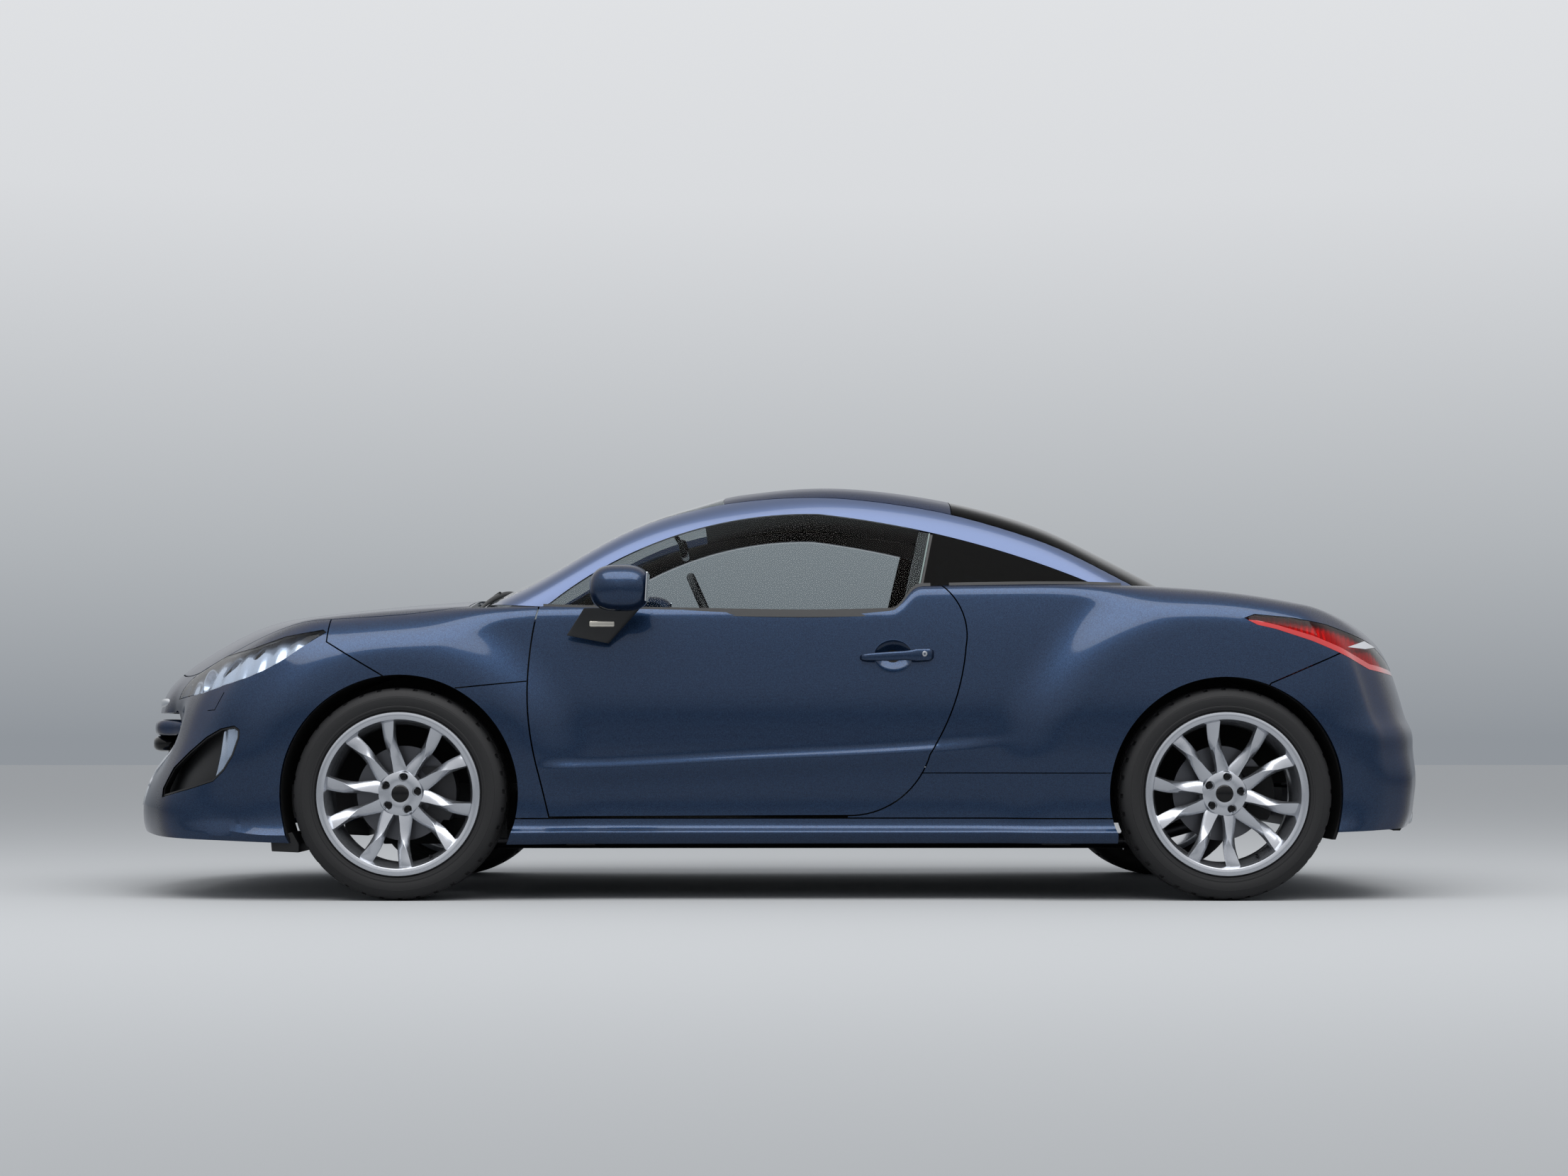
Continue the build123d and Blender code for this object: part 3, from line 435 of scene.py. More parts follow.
# ---- outlines, seen from the side (x, z) or from above (x, y)
outlines = {
    "door": [(-756, 1100), (-756, 925), (-781, 760, -745, 395), (-713, 262), (250, 266), (400, 322, 492, 460),
             (588, 680, 609, 802), (604, 900, 536, 1000), (470, 1100)],
    "headlamp": [(-1974, 640), (-1938, 696, -1886, 729), (-1790, 778), (-1677, 799), (-1565, 835), (-1442, 856),
                 (-1431, 848), (-1514, 794), (-1610, 733, -1730, 688), (-1848, 655)],
    "intake": [(-1712, 550), (-1758, 541), (-1810, 514), (-1870, 468), (-1930, 416), (-1968, 350), (-1968, 322),
               (-1860, 350), (-1782, 374), (-1745, 408), (-1714, 456), (-1694, 512), (-1694, 538)],
    "fog": [(-1752, 532), (-1734, 541), (-1712, 543), (-1700, 534), (-1700, 512), (-1718, 460), (-1748, 414),
            (-1778, 384), (-1770, 412), (-1760, 462)],
    "washer": [(-1813, 600), (-1786, 602), (-1756, 658), (-1753.5, 656.5), (-1784.5, 599.5), (-1813, 597.5)],
    "mouth": [(-430, 596), (430, 596), (486, 588, 494, 540), (470, 380), (452, 306, 380, 292), (-380, 292),
              (-452, 306, -470, 380), (-494, 540), (-486, 588, -430, 596)],
    "diffuser": [(-520, 210), (520, 210), (500, 300), (460, 330), (-460, 330), (-500, 300)],
    "plate": [(-270, 420), (270, 420), (282, 540), (-282, 540)],
    "tailStrip": [(1500, 886), (1530, 870), (1587, 857), (1702, 819), (1795, 780), (1905, 731), (1975, 721),
                  (2062, 713), (2050, 727), (1978, 737), (1908, 748), (1798, 798), (1706, 835), (1590, 870),
                  (1530, 884)],
    "tailSliver": [(1826, 801), (1905, 824), (1958, 806), (1900, 797)],
    "tailLamp": [(1491, 892), (1523, 904), (1645, 893), (1761, 872), (1850, 845), (1931, 818), (2002, 769),
                 (2075, 712), (1975, 722), (1905, 732), (1795, 781), (1702, 820), (1587, 858), (1530, 872)],
    "fender": [(-1425, 1100), (-1425, 817), (-1236, 706), (-1186, 500), (-900, 258), (-700, 258), (-700, 1100)],
    "quarter": [(230, 1100), (230, 258), (1100, 258), (1425, 500), (1566, 684), (1795, 781), (1905, 748),
                (2210, 700), (2210, 1100)],
    "skirt": [(-900, 174), (1100, 178), (1100, 258), (-900, 258)],
    "frontBumper": [(-1425, 1100), (-1425, 817), (-1236, 706), (-1186, 500), (-1480, 240), (-1480, 177),
                    (-2000, 194), (-2210, 214), (-2210, 1100)],
    "rearBumper": [(1566, 684), (1795, 781), (1905, 748), (2210, 700), (2210, 226), (1740, 212), (1425, 500)],
    "archLow": [(-850, 880), (-722, 944), (-324, 1169, 143, 1243), (585, 1160, 1071, 989), (1290, 880)],
    "bonnet": [(-2025, 0), (-1995, 300, -1895, 520), (-1640, 690, -985, 735)],
    "bootLid": [(1308, 0), (1308, 560), (1650, 565, 1920, 540), (2203, 470), (2203, 0)],
}


def sideCut(name, inset=0, low=-1500, high=1500):
    return outlineCutter(shrunk(traceOutline(outlines[name]), inset), "side", low, high)


def planCut(name, inset=0, low=300, high=1500):
    half = traceOutline(outlines[name])
    whole = half + [(x, -y) for x, y in reversed(half) if y > 1]
    return outlineCutter(shrunk(whole, inset), "plan", low, high)


# ---- materials
def newMaterial(name):
    material = bpy.data.materials.new(name)
    material.use_nodes = True
    material.node_tree.nodes.clear()
    return material


def addNode(material, kind, inputs=None, **settings):  # a node with its settings, values and links
    node = material.node_tree.nodes.new(kind)
    for key, value in settings.items():
        setattr(node, key, value)
    for key, value in (inputs or {}).items():
        if isinstance(value, bpy.types.NodeSocket):
            material.node_tree.links.new(value, node.inputs[key])
        else:
            node.inputs[key].default_value = value
    return node


def closeMaterial(material, shader):
    output = addNode(material, "ShaderNodeOutputMaterial")
    material.node_tree.links.new(shader, output.inputs["Surface"])
    return material


def metallicPaint(name, base, flake, coat=1.0, metallic=0.82, roughness=0.32):
    # flakes under clear lacquer, 1.1 mm wide: coarser than real ones, so that they show
    material = newMaterial(name)
    place = addNode(material, "ShaderNodeTexCoord")
    flakes = addNode(material, "ShaderNodeTexVoronoi", {"Vector": place.outputs["Object"], "Scale": 1000 / 1.1})
    mix = addNode(material, "ShaderNodeMix", {"A": toLinear(base), "B": toLinear(flake)}, data_type="RGBA")
    tone = addNode(material, "ShaderNodeMapRange", {
        "Value": flakes.outputs["Color"], "From Min": 0.2, "From Max": 0.9, "To Min": 0.0, "To Max": 1.0})
    material.node_tree.links.new(tone.outputs["Result"], mix.inputs["Factor"])
    shader = addNode(material, "ShaderNodeBsdfPrincipled", {
        "Metallic": metallic, "Roughness": roughness, "Specular Tint": toLinear("#5f7089"),
        "Coat Weight": coat, "Coat Roughness": 0.07, "Coat IOR": 1.4})
    material.node_tree.links.new(mix.outputs["Result"], shader.inputs["Base Color"])
    return closeMaterial(material, shader.outputs["BSDF"])


def plainMaterial(name, base, roughness=0.5, metallic=0.0, grain=0.0, grainSize=1.0, **extra):
    material = newMaterial(name)
    place = addNode(material, "ShaderNodeTexCoord")
    noise = addNode(material, "ShaderNodeTexNoise",
                    {"Vector": place.outputs["Object"], "Scale": 1000.0 / grainSize, "Detail": 3.0})
    rough = addNode(material, "ShaderNodeMapRange", {
        "Value": noise.outputs["Fac"], "From Min": 0.3, "From Max": 0.7,
        "To Min": max(roughness - 0.06, 0.02), "To Max": min(roughness + 0.06, 1.0)})
    inputs = {"Base Color": toLinear(base), "Metallic": metallic, "Roughness": rough.outputs["Result"]}
    if grain:
        bump = addNode(material, "ShaderNodeBump",
                       {"Height": noise.outputs["Fac"], "Strength": grain, "Distance": 0.0004})
        inputs["Normal"] = bump.outputs["Normal"]
    inputs.update(extra)
    shader = addNode(material, "ShaderNodeBsdfPrincipled", inputs)
    return closeMaterial(material, shader.outputs["BSDF"])


def tintedGlass(name, tint, roughness=0.02, ior=1.22):  # float glass, tinted through: clear body, mirror-like face
    material = newMaterial(name)
    through = addNode(material, "ShaderNodeBsdfTransparent", {"Color": toLinear(tint)})
    gloss = addNode(material, "ShaderNodeBsdfGlossy", {"Color": (1, 1, 1, 1), "Roughness": roughness})
    fresnel = addNode(material, "ShaderNodeFresnel", {"IOR": ior})
    face = addNode(material, "ShaderNodeNewGeometry")
    entering = addNode(material, "ShaderNodeMath", {0: 1.0, 1: face.outputs["Backfacing"]}, operation="SUBTRACT")
    glossShare = addNode(material, "ShaderNodeMath", {0: fresnel.outputs["Fac"], 1: entering.outputs[0]},
                          operation="MULTIPLY")
    mix = addNode(material, "ShaderNodeMixShader", {0: glossShare.outputs[0]})
    material.node_tree.links.new(through.outputs["BSDF"], mix.inputs[1])
    material.node_tree.links.new(gloss.outputs["BSDF"], mix.inputs[2])
    return closeMaterial(material, mix.outputs["Shader"])


finishes = {
    # deep blue gloss that lightens where it turns to the light
    "paint": metallicPaint("SteelBlueMetallicLacquer", "#15223a", "#2b425f", 0.75),
    # the same lacquer with painted shade, darker and flatter: it makes the roof a dark band between the arches
    "roof": metallicPaint("RoofLacquerPaintedShade", "#0d1528", "#1b2947", 0.4, 0.4, 0.42),
    # brushed, then lacquered: a soft blue-silver sheen along the arch
    "archSilver": plainMaterial("LacqueredAluminium", "#465370", 0.34, 0.85, **{"Coat Weight": 0.4}),
    # nearly clear, a faint grey in the thick of it
    "glass": tintedGlass("TintedFloatGlass", "#e6e9ea", ior=1.12),
    # glass tinted dark: the rear of the cabin shows only as shapes
    "darkGlass": tintedGlass("DarkRearGlass", "#4c545f", ior=1.1),
    # moulded in a polished tool: black with a narrow bright edge
    "gloss": plainMaterial("BlackGlossPlastic", "#0b0b0d", 0.12, **{"Specular IOR Level": 0.28}),
    # vapour-coated plastic: pale and bright, but softer than chrome
    "lampSilver": plainMaterial("AluminisedReflector", "#bcc3cf", 0.22, 0.6, **{"Coat Weight": 0.5}),
    # pressed glass lens: dark middle, sharp spark
    "lampGlass": plainMaterial("ProjectorGlass", "#8794a8", 0.04, 0.3, **{"Coat Weight": 1.0}),
    # prisms behind the lens: deep red with light lines
    "redGlow": plainMaterial("RedReflector", "#d8161c", 0.25, 0.2, **{"Coat Weight": 0.6}),
    # ribbed by the tool: pale, with broken highlights
    "fogGlass": plainMaterial("RibbedLampGlass", "#c9c4b8", 0.15, 0.5, 0.6, 6.0, **{"Coat Weight": 1.0}),
    # clear-topped acrylic: the lamp's brightest line
    "brightRed": plainMaterial("BrightRedLens", "#b80d10", 0.15, 0.0, **{"Coat Weight": 1.0}),
    # grained plastic, matt and slightly grey
    "black": plainMaterial("MouldedBlackPolypropylene", "#141517", 0.55, 0.0, 0.25, 1.2),
    # sprayed underbody wax: dull, almost no shine
    "underBlack": plainMaterial("UnderbodyCoating", "#0c0c0d", 0.8, 0.0, 0.3, 3.0),
    # silver paint under lacquer: bright facets, soft edges
    "alloy": plainMaterial("SilverPaintedAlloy", "#b6b9bf", 0.22, 0.88, **{"Coat Weight": 0.5}),
    # lathe-turned disc: plain grey metal
    "steel": plainMaterial("TurnedSteel", "#5a5b5f", 0.35, 1.0),
    # rough casting: dark, speckled metal
    "castIron": plainMaterial("CastIron", "#4a4a4c", 0.6, 0.8, 0.4, 2.0),
    # matt black with a fine moulded skin
    "rubber": plainMaterial("TyreRubber", "#111113", 0.72, 0.0, 0.3, 1.5),
    # fine grain, a low shine on the bolsters
    "leather": plainMaterial("BlackLeather", "#1b1b1e", 0.45, 0.0, 0.5, 1.6),
    # soft-touch moulding: matt, almost black
    "softTrim": plainMaterial("SoftTouchTrim", "#161719", 0.6, 0.0, 0.4, 1.4),
    # dyed acrylic: everything behind it turns red
    "redLens": tintedGlass("RedLens", "#e4454d"),
    # hard-coated polycarbonate: only its reflections show
    "clearLens": tintedGlass("ClearLens", "#f4f7fa"),
    # ground edge of the pane: thin grey-green line
    "glassEdge": plainMaterial("GroundGlassEdge", "#5b6e6b", 0.35),
    # plated: a mirror with a cool tone
    "chrome": plainMaterial("ChromePlate", "#d5d8dc", 0.07, 1.0),
}
print("materials made")


# ---- body panels
density = 0.8


def fine(a, b):
    return int(a * density), int(b * density)


def deeper(field, depth):  # the same shape, further in
    return lambda x, y, z: field(x, y, z) + depth


def trimWells(obj, low, high, grow=0):
    ends = cornersOf(obj)
    for x, radius in ((frontAxleX, carSize["archFront"] + grow), (rearAxleX, carSize["archRear"] + grow)):
        if (x - radius) * mm < ends[1][0] and (x + radius) * mm > ends[0][0]:
            trim(obj, barCutter(x, axleZ, radius, low, high))


def makeDoor(name, depth, thickness, inset):
    rays = flankRays(-800, 625, -50, 62, follow=0.3)
    obj = skinPatch(name, fine(140, 130), rays, deeper(bodyField, depth), thickness)
    trim(obj, sideCut("door", inset), keep=True)
    trim(obj, cabinHole(6 if depth == 0 else 20))
    return obj


def makeFender():
    obj = skinPatch("fenderSkinRight", fine(100, 110), flankRays(-1470, -690, -52, 84), bodyField, 8)
    trim(obj, sideCut("fender", seam), keep=True)
    trim(obj, sideCut("door", -seam))
    trim(obj, planCut("bonnet", -seam))
    trim(obj, sideCut("headlamp", -seam / 2))
    trim(obj, cabinHole(4, -975))
    groove = [(-1010, 671), (-780, 694), (-740, 694), (-740, 690), (-780, 690), (-1010, 667)]
    trim(obj, outlineCutter(groove, "side", 300, 1500))
    trimWells(obj, 300, 1500)
    return obj


def makeQuarter():
    rays = flankRays(230, 1740, -40, 84, 300, 560, 0, 72)
    obj = skinPatch("quarterSkinRight", fine(200, 140), rays, bodyField, 24)
    trim(obj, sideCut("quarter", seam), keep=True)
    trim(obj, sideCut("door", -seam))
    trim(obj, planCut("bootLid", -seam))
    trim(obj, sideCut("tailLamp", -seam / 2))
    trim(obj, cabinHole(6, -985, 1305, 46))
    trim(obj, outlineCutter([(440, 402.5), (1060, 402.5), (1060, 399.5), (440, 399.5)], "side", 300, 1500))
    trimWells(obj, 300, 1500)
    return obj


def makeSkirt():
    obj = skinPatch("skirtSkinRight", fine(150, 60), flankRays(-850, 1080, -15, 4, 470, 250), bodyField, 20)
    trim(obj, sideCut("skirt", seam), keep=True)
    trimWells(obj, 300, 1500)
    return obj


door = makeDoor("doorSkinRight", 0, 26, seam)
doorInner = makeDoor("doorFrameRight", 27, 55, 15)
fender = makeFender()
quarter = makeQuarter()
skirt = makeSkirt()
print("side panels cut")


def makeFrontBumper():
    obj = skinPatch("frontBumperSkin", fine(260, 90), noseRays, bodyField, 26)
    trim(obj, sideCut("frontBumper", seam), keep=True)
    trim(obj, planCut("bonnet", -seam))
    for low, high in flanks:
        trim(obj, outlineCutter(outlines["washer"], "side", low, high))
        for name in ("headlamp", "intake"):
            trim(obj, sideCut(name, -seam / 2, low, high))
        trim(obj, barCutter(frontAxleX, axleZ, carSize["archFront"], low, high))
    trim(obj, outlineCutter(traceOutline(outlines["mouth"]), "front", -2300, -1700))
    return obj


def makeRearBumper():
    obj = skinPatch("rearBumperSkin", fine(260, 80), rearRays, bodyField, 26)
    trim(obj, sideCut("rearBumper", seam), keep=True)
    trim(obj, planCut("bootLid", -seam, 702))
    for low, high in flanks:
        trim(obj, sideCut("tailLamp", -seam / 2, low, high))
        trim(obj, barCutter(rearAxleX, axleZ, carSize["archRear"], low, high))
    return obj


def makeBonnet():
    obj = skinPatch("bonnetSkin", fine(120, 150), lidRays(-2060, -970, 795, 300), bodyField, 22)
    trim(obj, planCut("bonnet", seam), keep=True)
    for low, high in flanks:
        trim(obj, sideCut("headlamp", -seam / 2, low, high))
    return obj


def makeBootLid():
    obj = skinPatch("bootLidSkin", fine(130, 110), tailRays(1560, 560, 575, 12, 128), bodyField, 22)
    trim(obj, planCut("bootLid", seam, 704), keep=True)
    for low, high in flanks:
        trim(obj, sideCut("tailLamp", -seam / 2, low, high))
    return obj


def makeHeadLens():
    obj = skinPatch("headlampLensRight", fine(90, 60), headlampRays, bodyField, 6)
    trim(obj, sideCut("headlamp", seam / 2), keep=True)
    trim(obj, planCut("bonnet", -seam))
    return obj


def makeTailLens():
    obj = skinPatch("tailLampLensRight", fine(90, 60), tailLampRays, bodyField, 10)
    trim(obj, sideCut("tailLamp", seam / 2), keep=True)
    trim(obj, planCut("bootLid", -seam))
    return obj


frontBumper = makeFrontBumper()
rearBumper = makeRearBumper()
bonnet = makeBonnet()
bootLid = makeBootLid()
headLens = makeHeadLens()
tailLens = makeTailLens()
print("bumpers, lids and lenses cut")


# ---- cabin skin
def cabinPatch(name, x0, x1, counts, thickness, low=0, high=180):
    return skinPatch(name, fine(*counts), flankRays(x0, x1, low, high, 0, 900), cabinField, thickness)


doorPane = cabinPatch("doorPaneRight", -760, 500, (110, 40), 5, 1, 60)
paneCut = outlineCutter(shrunk(traceOutline(outlines["archLow"]), 3), "side", -1500, 1500)
trim(doorPane, paneCut, keep=True)
postLine = [(-1000, 860), (443, 860), (443, 885), (520, 1235), (520, 1400), (-1000, 1400)]
trim(doorPane, outlineCutter(postLine, "side", -1500, 1500), keep=True)
quarterPane = cabinPatch("quarterPaneRight", 430, 1200, (90, 40), 5, 1, 60)
trim(quarterPane, sideCut("archLow", 2), keep=True)
postBack = [(450, 860), (1400, 860), (1400, 1400), (528, 1400), (528, 1235), (450, 885)]
trim(quarterPane, outlineCutter(postBack, "side", -1500, 1500), keep=True)

cabinLines["archInner"] = fair([
    (-1100, 700), (-990, 670), (-800, 640), (-530, 600), (-260, 579), (-20, 574), (227, 583), (377, 595),
    (563, 614), (743, 641), (936, 668), (1065, 686), (1166, 697), (1330, 711), (1420, 718)])


def underArch(inset, x0, x1, steps=80):  # what lies between the arches, from above
    xs = np.linspace(x0, x1, steps)
    half = [(x, y) for x, y in zip(xs, cabinLines["archInner"](xs) - inset)]
    return outlineCutter(half + [(x, -y) for x, y in reversed(half)], "plan", 850, 1500)


arch = cabinPatch("roofArchRight", -1060, 1380, (260, 60), 30, 0, 75)
archFoot = [(-1045, 905), (-954, 944), (-700, 930), (1020, 960), (1250, 990), (1330, 940), (1400, 900),
            (1500, 1500), (-1200, 1500)]
trim(arch, outlineCutter(archFoot, "side", -1500, 1500), keep=True)
trim(arch, outlineCutter(traceOutline(outlines["archLow"], 24), "side", -1500, 1500))
trim(arch, underArch(-1.5, -1200, 1500))
windscreen = cabinPatch("windscreenPane", -1008, -170, (90, 130), 5, 1, 179)
trim(windscreen, underArch(1.5, -1020, -160), keep=True)
rearPane = cabinPatch("rearWindowPane", 580, 1304, (90, 150), 5, 1, 179)
trim(rearPane, underArch(1.5, 560, 1350), keep=True)
roof = cabinPatch("roofSkin", -167, 577, (90, 150), 24, 3, 177)
trim(roof, underArch(1.5, -200, 600), keep=True)
post = cabinPatch("centrePostRight", 380, 600, (40, 60), 22, 1, 66)
post.data.transform(Matrix.Translation((0, -6.5 * mm, 0)))
trim(post, outlineCutter([(400, 880), (480, 880), (556, 1262), (486, 1262)], "side", -1500, 1500), keep=True)
liningRays = flankRays(-940, 1300, 0, 75, 0, 900)
lining = skinPatch("archLiningRight", fine(160, 40), liningRays, deeper(cabinField, 34), 5)
trim(lining, outlineCutter(traceOutline(outlines["archLow"], 24), "side", -1500, 1500))
trim(lining, outlineCutter([(-1200, 700), (1500, 700), (1500, 925), (-1200, 925)], "side", -1500, 1500))
trim(lining, underArch(22, -1200, 1500))
roofLining = skinPatch("roofLining", fine(60, 90), flankRays(-250, 660, 30, 150, 0, 900), deeper(cabinField, 30), 5)
trim(roofLining, underArch(-6, -300, 700), keep=True)
print("cabin cut")

for piece in (post, door, doorInner, fender, quarter, skirt, headLens, tailLens, doorPane, quarterPane, arch,
              lining, roofLining, frontBumper, rearBumper, bonnet, bootLid, windscreen, rearPane, roof):
    smooth(piece, 28)

paired = [
    (door, "doorSkinLeft", "paint", "door_right_body", "door_left_body", ("door_right", "door_left")),
    (doorInner, "doorFrameLeft", "softTrim", "door_right_body", "door_left_body", ("door_right", "door_left")),
    (fender, "fenderSkinLeft", "paint", "body_shell", "body_shell", ("front_fenders",)),
    (quarter, "quarterSkinLeft", "paint", "body_shell", "body_shell", ("quarter_panels",)),
    (skirt, "skirtSkinLeft", "paint", "body_shell", "body_shell", ("side_skirts",)),
    (headLens, "headlampLensLeft", "clearLens", "body_shell", "body_shell", ("front_lamps",)),
    (tailLens, "tailLampLensLeft", "redLens", "body_shell", "body_shell", ("tail_lamps",)),
    (doorPane, "doorPaneLeft", "glass", "door_right_body", "door_left_body",
     ("door_glass_right", "door_glass_left")),
    (post, "centrePostLeft", "gloss", "body_shell", "body_shell", ("quarter_glass",)),
    (quarterPane, "quarterPaneLeft", "darkGlass", "body_shell", "body_shell", ("quarter_glass",)),
    (arch, "roofArchLeft", "archSilver", "body_shell", "body_shell", ("roof_arches",)),
    (lining, "archLiningLeft", "softTrim", "body_shell", "body_shell", ()),
]
for right, leftName, finish, rightOn, leftOn, nodes in paired:
    left = otherSide(right, leftName)
    dress(right, finishes[finish], rightOn)
    dress(left, finishes[finish], leftOn)
    if nodes:
        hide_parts(nodes[0])
        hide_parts(nodes[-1])
dress(roofLining, finishes["softTrim"], "body_shell")
for piece, finish, on, node in (
    (frontBumper, "paint", "body_shell", "front_bumper"), (rearBumper, "paint", "body_shell", "rear_bumper"),
    (bonnet, "paint", "bonnet_body", "bonnet"), (bootLid, "paint", "boot_lid_body", "boot_lid"),
    (windscreen, "glass", "body_shell", "windscreen"), (rearPane, "darkGlass", "body_shell", "rear_window"),
    (roof, "roof", "body_shell", "roof_panel"),
):
    dress(piece, finishes[finish], on)
    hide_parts(node)
print("panels dressed")


# ---- shapes built ring by ring
def loftRings(name, rings, capped=True):
    rows, cols = len(rings), len(rings[0])
    bpy.ops.mesh.primitive_grid_add(x_subdivisions=cols, y_subdivisions=rows - 1, size=2)
    obj = bpy.context.object
    for vertex in obj.data.vertices:
        col = round((vertex.co.x + 1) / 2 * cols) % cols
        row = round((vertex.co.y + 1) / 2 * (rows - 1))
        vertex.co = Vector(rings[row][col]) * mm
    bpy.ops.object.mode_set(mode="EDIT")
    bpy.ops.mesh.select_all(action="SELECT")
    bpy.ops.mesh.remove_doubles(threshold=1e-6)
    if capped:
        bpy.ops.mesh.fill_holes(sides=0)
    bpy.ops.mesh.select_all(action="SELECT")
    bpy.ops.mesh.normals_make_consistent(inside=False)
    bpy.ops.object.mode_set(mode="OBJECT")
    return settle(obj, name)


def turned(name, profile, steps=96):  # a closed (radius, y) profile spun about the Y axis
    bpy.ops.mesh.primitive_circle_add(vertices=len(profile), radius=1)
    obj = bpy.context.object
    for vertex, (radius, y) in zip(obj.data.vertices, profile):
        vertex.co = (radius * mm, y * mm, 0)
    bpy.ops.object.mode_set(mode="EDIT")
    bpy.ops.mesh.select_all(action="SELECT")
    bpy.ops.mesh.spin(steps=steps, angle=math.tau, center=(0, 0, 0), axis=(0, 1, 0))
    bpy.ops.mesh.select_all(action="SELECT")
    bpy.ops.mesh.remove_doubles(threshold=1e-6)
    bpy.ops.mesh.normals_make_consistent(inside=False)
    bpy.ops.object.mode_set(mode="OBJECT")
    return settle(obj, name)


def moved(obj, place, turn=None):  # place in millimetres, turn a rotation matrix
    matrix = Matrix.Translation(Vector(place) * mm) @ (turn or Matrix.Identity(4))
    obj.data.transform(matrix)
    return obj


def joined(pieces, name):
    deselectAll()
    for piece in pieces:
        piece.select_set(True)
    bpy.context.view_layer.objects.active = pieces[0]
    if len(pieces) > 1:
        bpy.ops.object.join()
    return settle(bpy.context.object, name)


def roundBox(name, low, high, radius, segments=3):
    bpy.ops.mesh.primitive_cube_add(size=1)
    obj = bpy.context.object
    low, high = Vector(low) * mm, Vector(high) * mm
    for vertex in obj.data.vertices:
        vertex.co = [low[k] + (high[k] - low[k]) * (vertex.co[k] + 0.5) for k in range(3)]
    finishWith(obj, "BEVEL", width=radius * mm, segments=segments, limit_method="NONE")
    return settle(obj, name)


def squared(value, power):  # a sine or cosine pushed outwards, for rings with soft corners
    return abs(value) ** power * (1 if value > 0 else -1)


def rounded(width, height, bulge, count=36, power=0.55):  # an upright ring with soft corners
    ring = []
    for i in range(count):
        a = math.tau * i / count
        ring.append((width * squared(math.cos(a), power), height * squared(math.sin(a), power) + bulge))
    return ring


# ---- wheels
wheelSize = {
    "flange": 259, "seat": 241, "half": 113, "tyre": 335.5, "frontY": 790, "rearY": 796.5,
    "boltCircle": 53, "firstBolt": 79.5,
}
spokeTable = [  # radius, angle from the bolt, half width, face, ridge place from -1 to 1
    (50, 12.0, 24, 57, 0.75), (70, 13.2, 24, 61, 0.8), (92, 15.4, 21.5, 64, 0.8), (118, 18.2, 19.5, 68, 0.7),
    (142, 20.3, 19, 73, 0.35), (160, 21.2, 19.5, 78, -0.15), (180, 21.2, 20.5, 83, -0.6),
    (208, 20.4, 22, 90, -0.78), (239, 19.2, 24, 99, -0.8),
]


def makeSpoke(side):
    rings = []
    for radius, angle, half, face, ridge in spokeTable:
        turn = math.radians(90 + angle * side)
        along, across = Vector((math.cos(turn), 0, math.sin(turn))), Vector((-math.sin(turn), 0, math.cos(turn)))
        section = [(-1, -19), (-0.88, -14), (ridge * side, 0), (0.88, -14), (1, -19),
                   (0.72, -42), (0, -47), (-0.72, -42)]
        if ridge * side < 0:
            section[3] = (0.4, -11)
        else:
            section[1] = (-0.4, -11)
        rings.append([along * radius + across * (t * half) + Vector((0, face + dy, 0)) for t, dy in section])
    spoke = loftRings("spoke", rings)
    finishWith(spoke, "BEVEL", width=1.6 * mm, segments=2, limit_method="ANGLE", angle_limit=math.radians(22))
    return spoke


def makeRim():
    half, flange, seat = wheelSize["half"], wheelSize["flange"], wheelSize["seat"]
    barrel = turned("barrel", [
        (229, 92), (231, 100), (235, half - 3), (241, half + 0.5), (251, half + 1.5), (257, half - 0.5),
        (flange, half - 4), (257, half - 9), (246, half - 11), (seat, half - 16), (239, 66), (232, 48), (228, 30),
        (228, -40), (236, -66), (seat, 16 - half), (246, 11 - half), (257, 9 - half), (flange, 4 - half),
        (252, -half), (238, -half), (232, 20 - half), (226, -66), (219, -40), (218, 24), (221, 52), (227, 76),
    ], 128)
    pieces = [barrel]
    spokes = {side: makeSpoke(side) for side in (-1, 1)}
    for i in range(5):
        for side in (-1, 1):
            spoke = copyOf(spokes[side], "spoke")
            turn = Matrix.Rotation(math.radians(90 - wheelSize["firstBolt"] - 72 * i), 4, "Y")
            pieces.append(moved(spoke, (0, 0, 0), turn))
    for spoke in spokes.values():
        bpy.data.objects.remove(spoke)
    hub = turned("hub", [(20, 22), (20, 60), (30, 62.5), (44, 63), (62, 62), (69, 59), (73, 53), (76, 40),
                         (72, 22)], 80)
    for i in range(5):
        angle = math.radians(wheelSize["firstBolt"] + 72 * i)
        x, z = wheelSize["boltCircle"] * math.cos(angle), wheelSize["boltCircle"] * math.sin(angle)
        trim(hub, barCutter(x, z, 14.5, 42, 90, 32))
    pieces.append(hub)
    rim = joined(pieces, "rimFrontRight")
    smooth(rim, 32)
    return rim


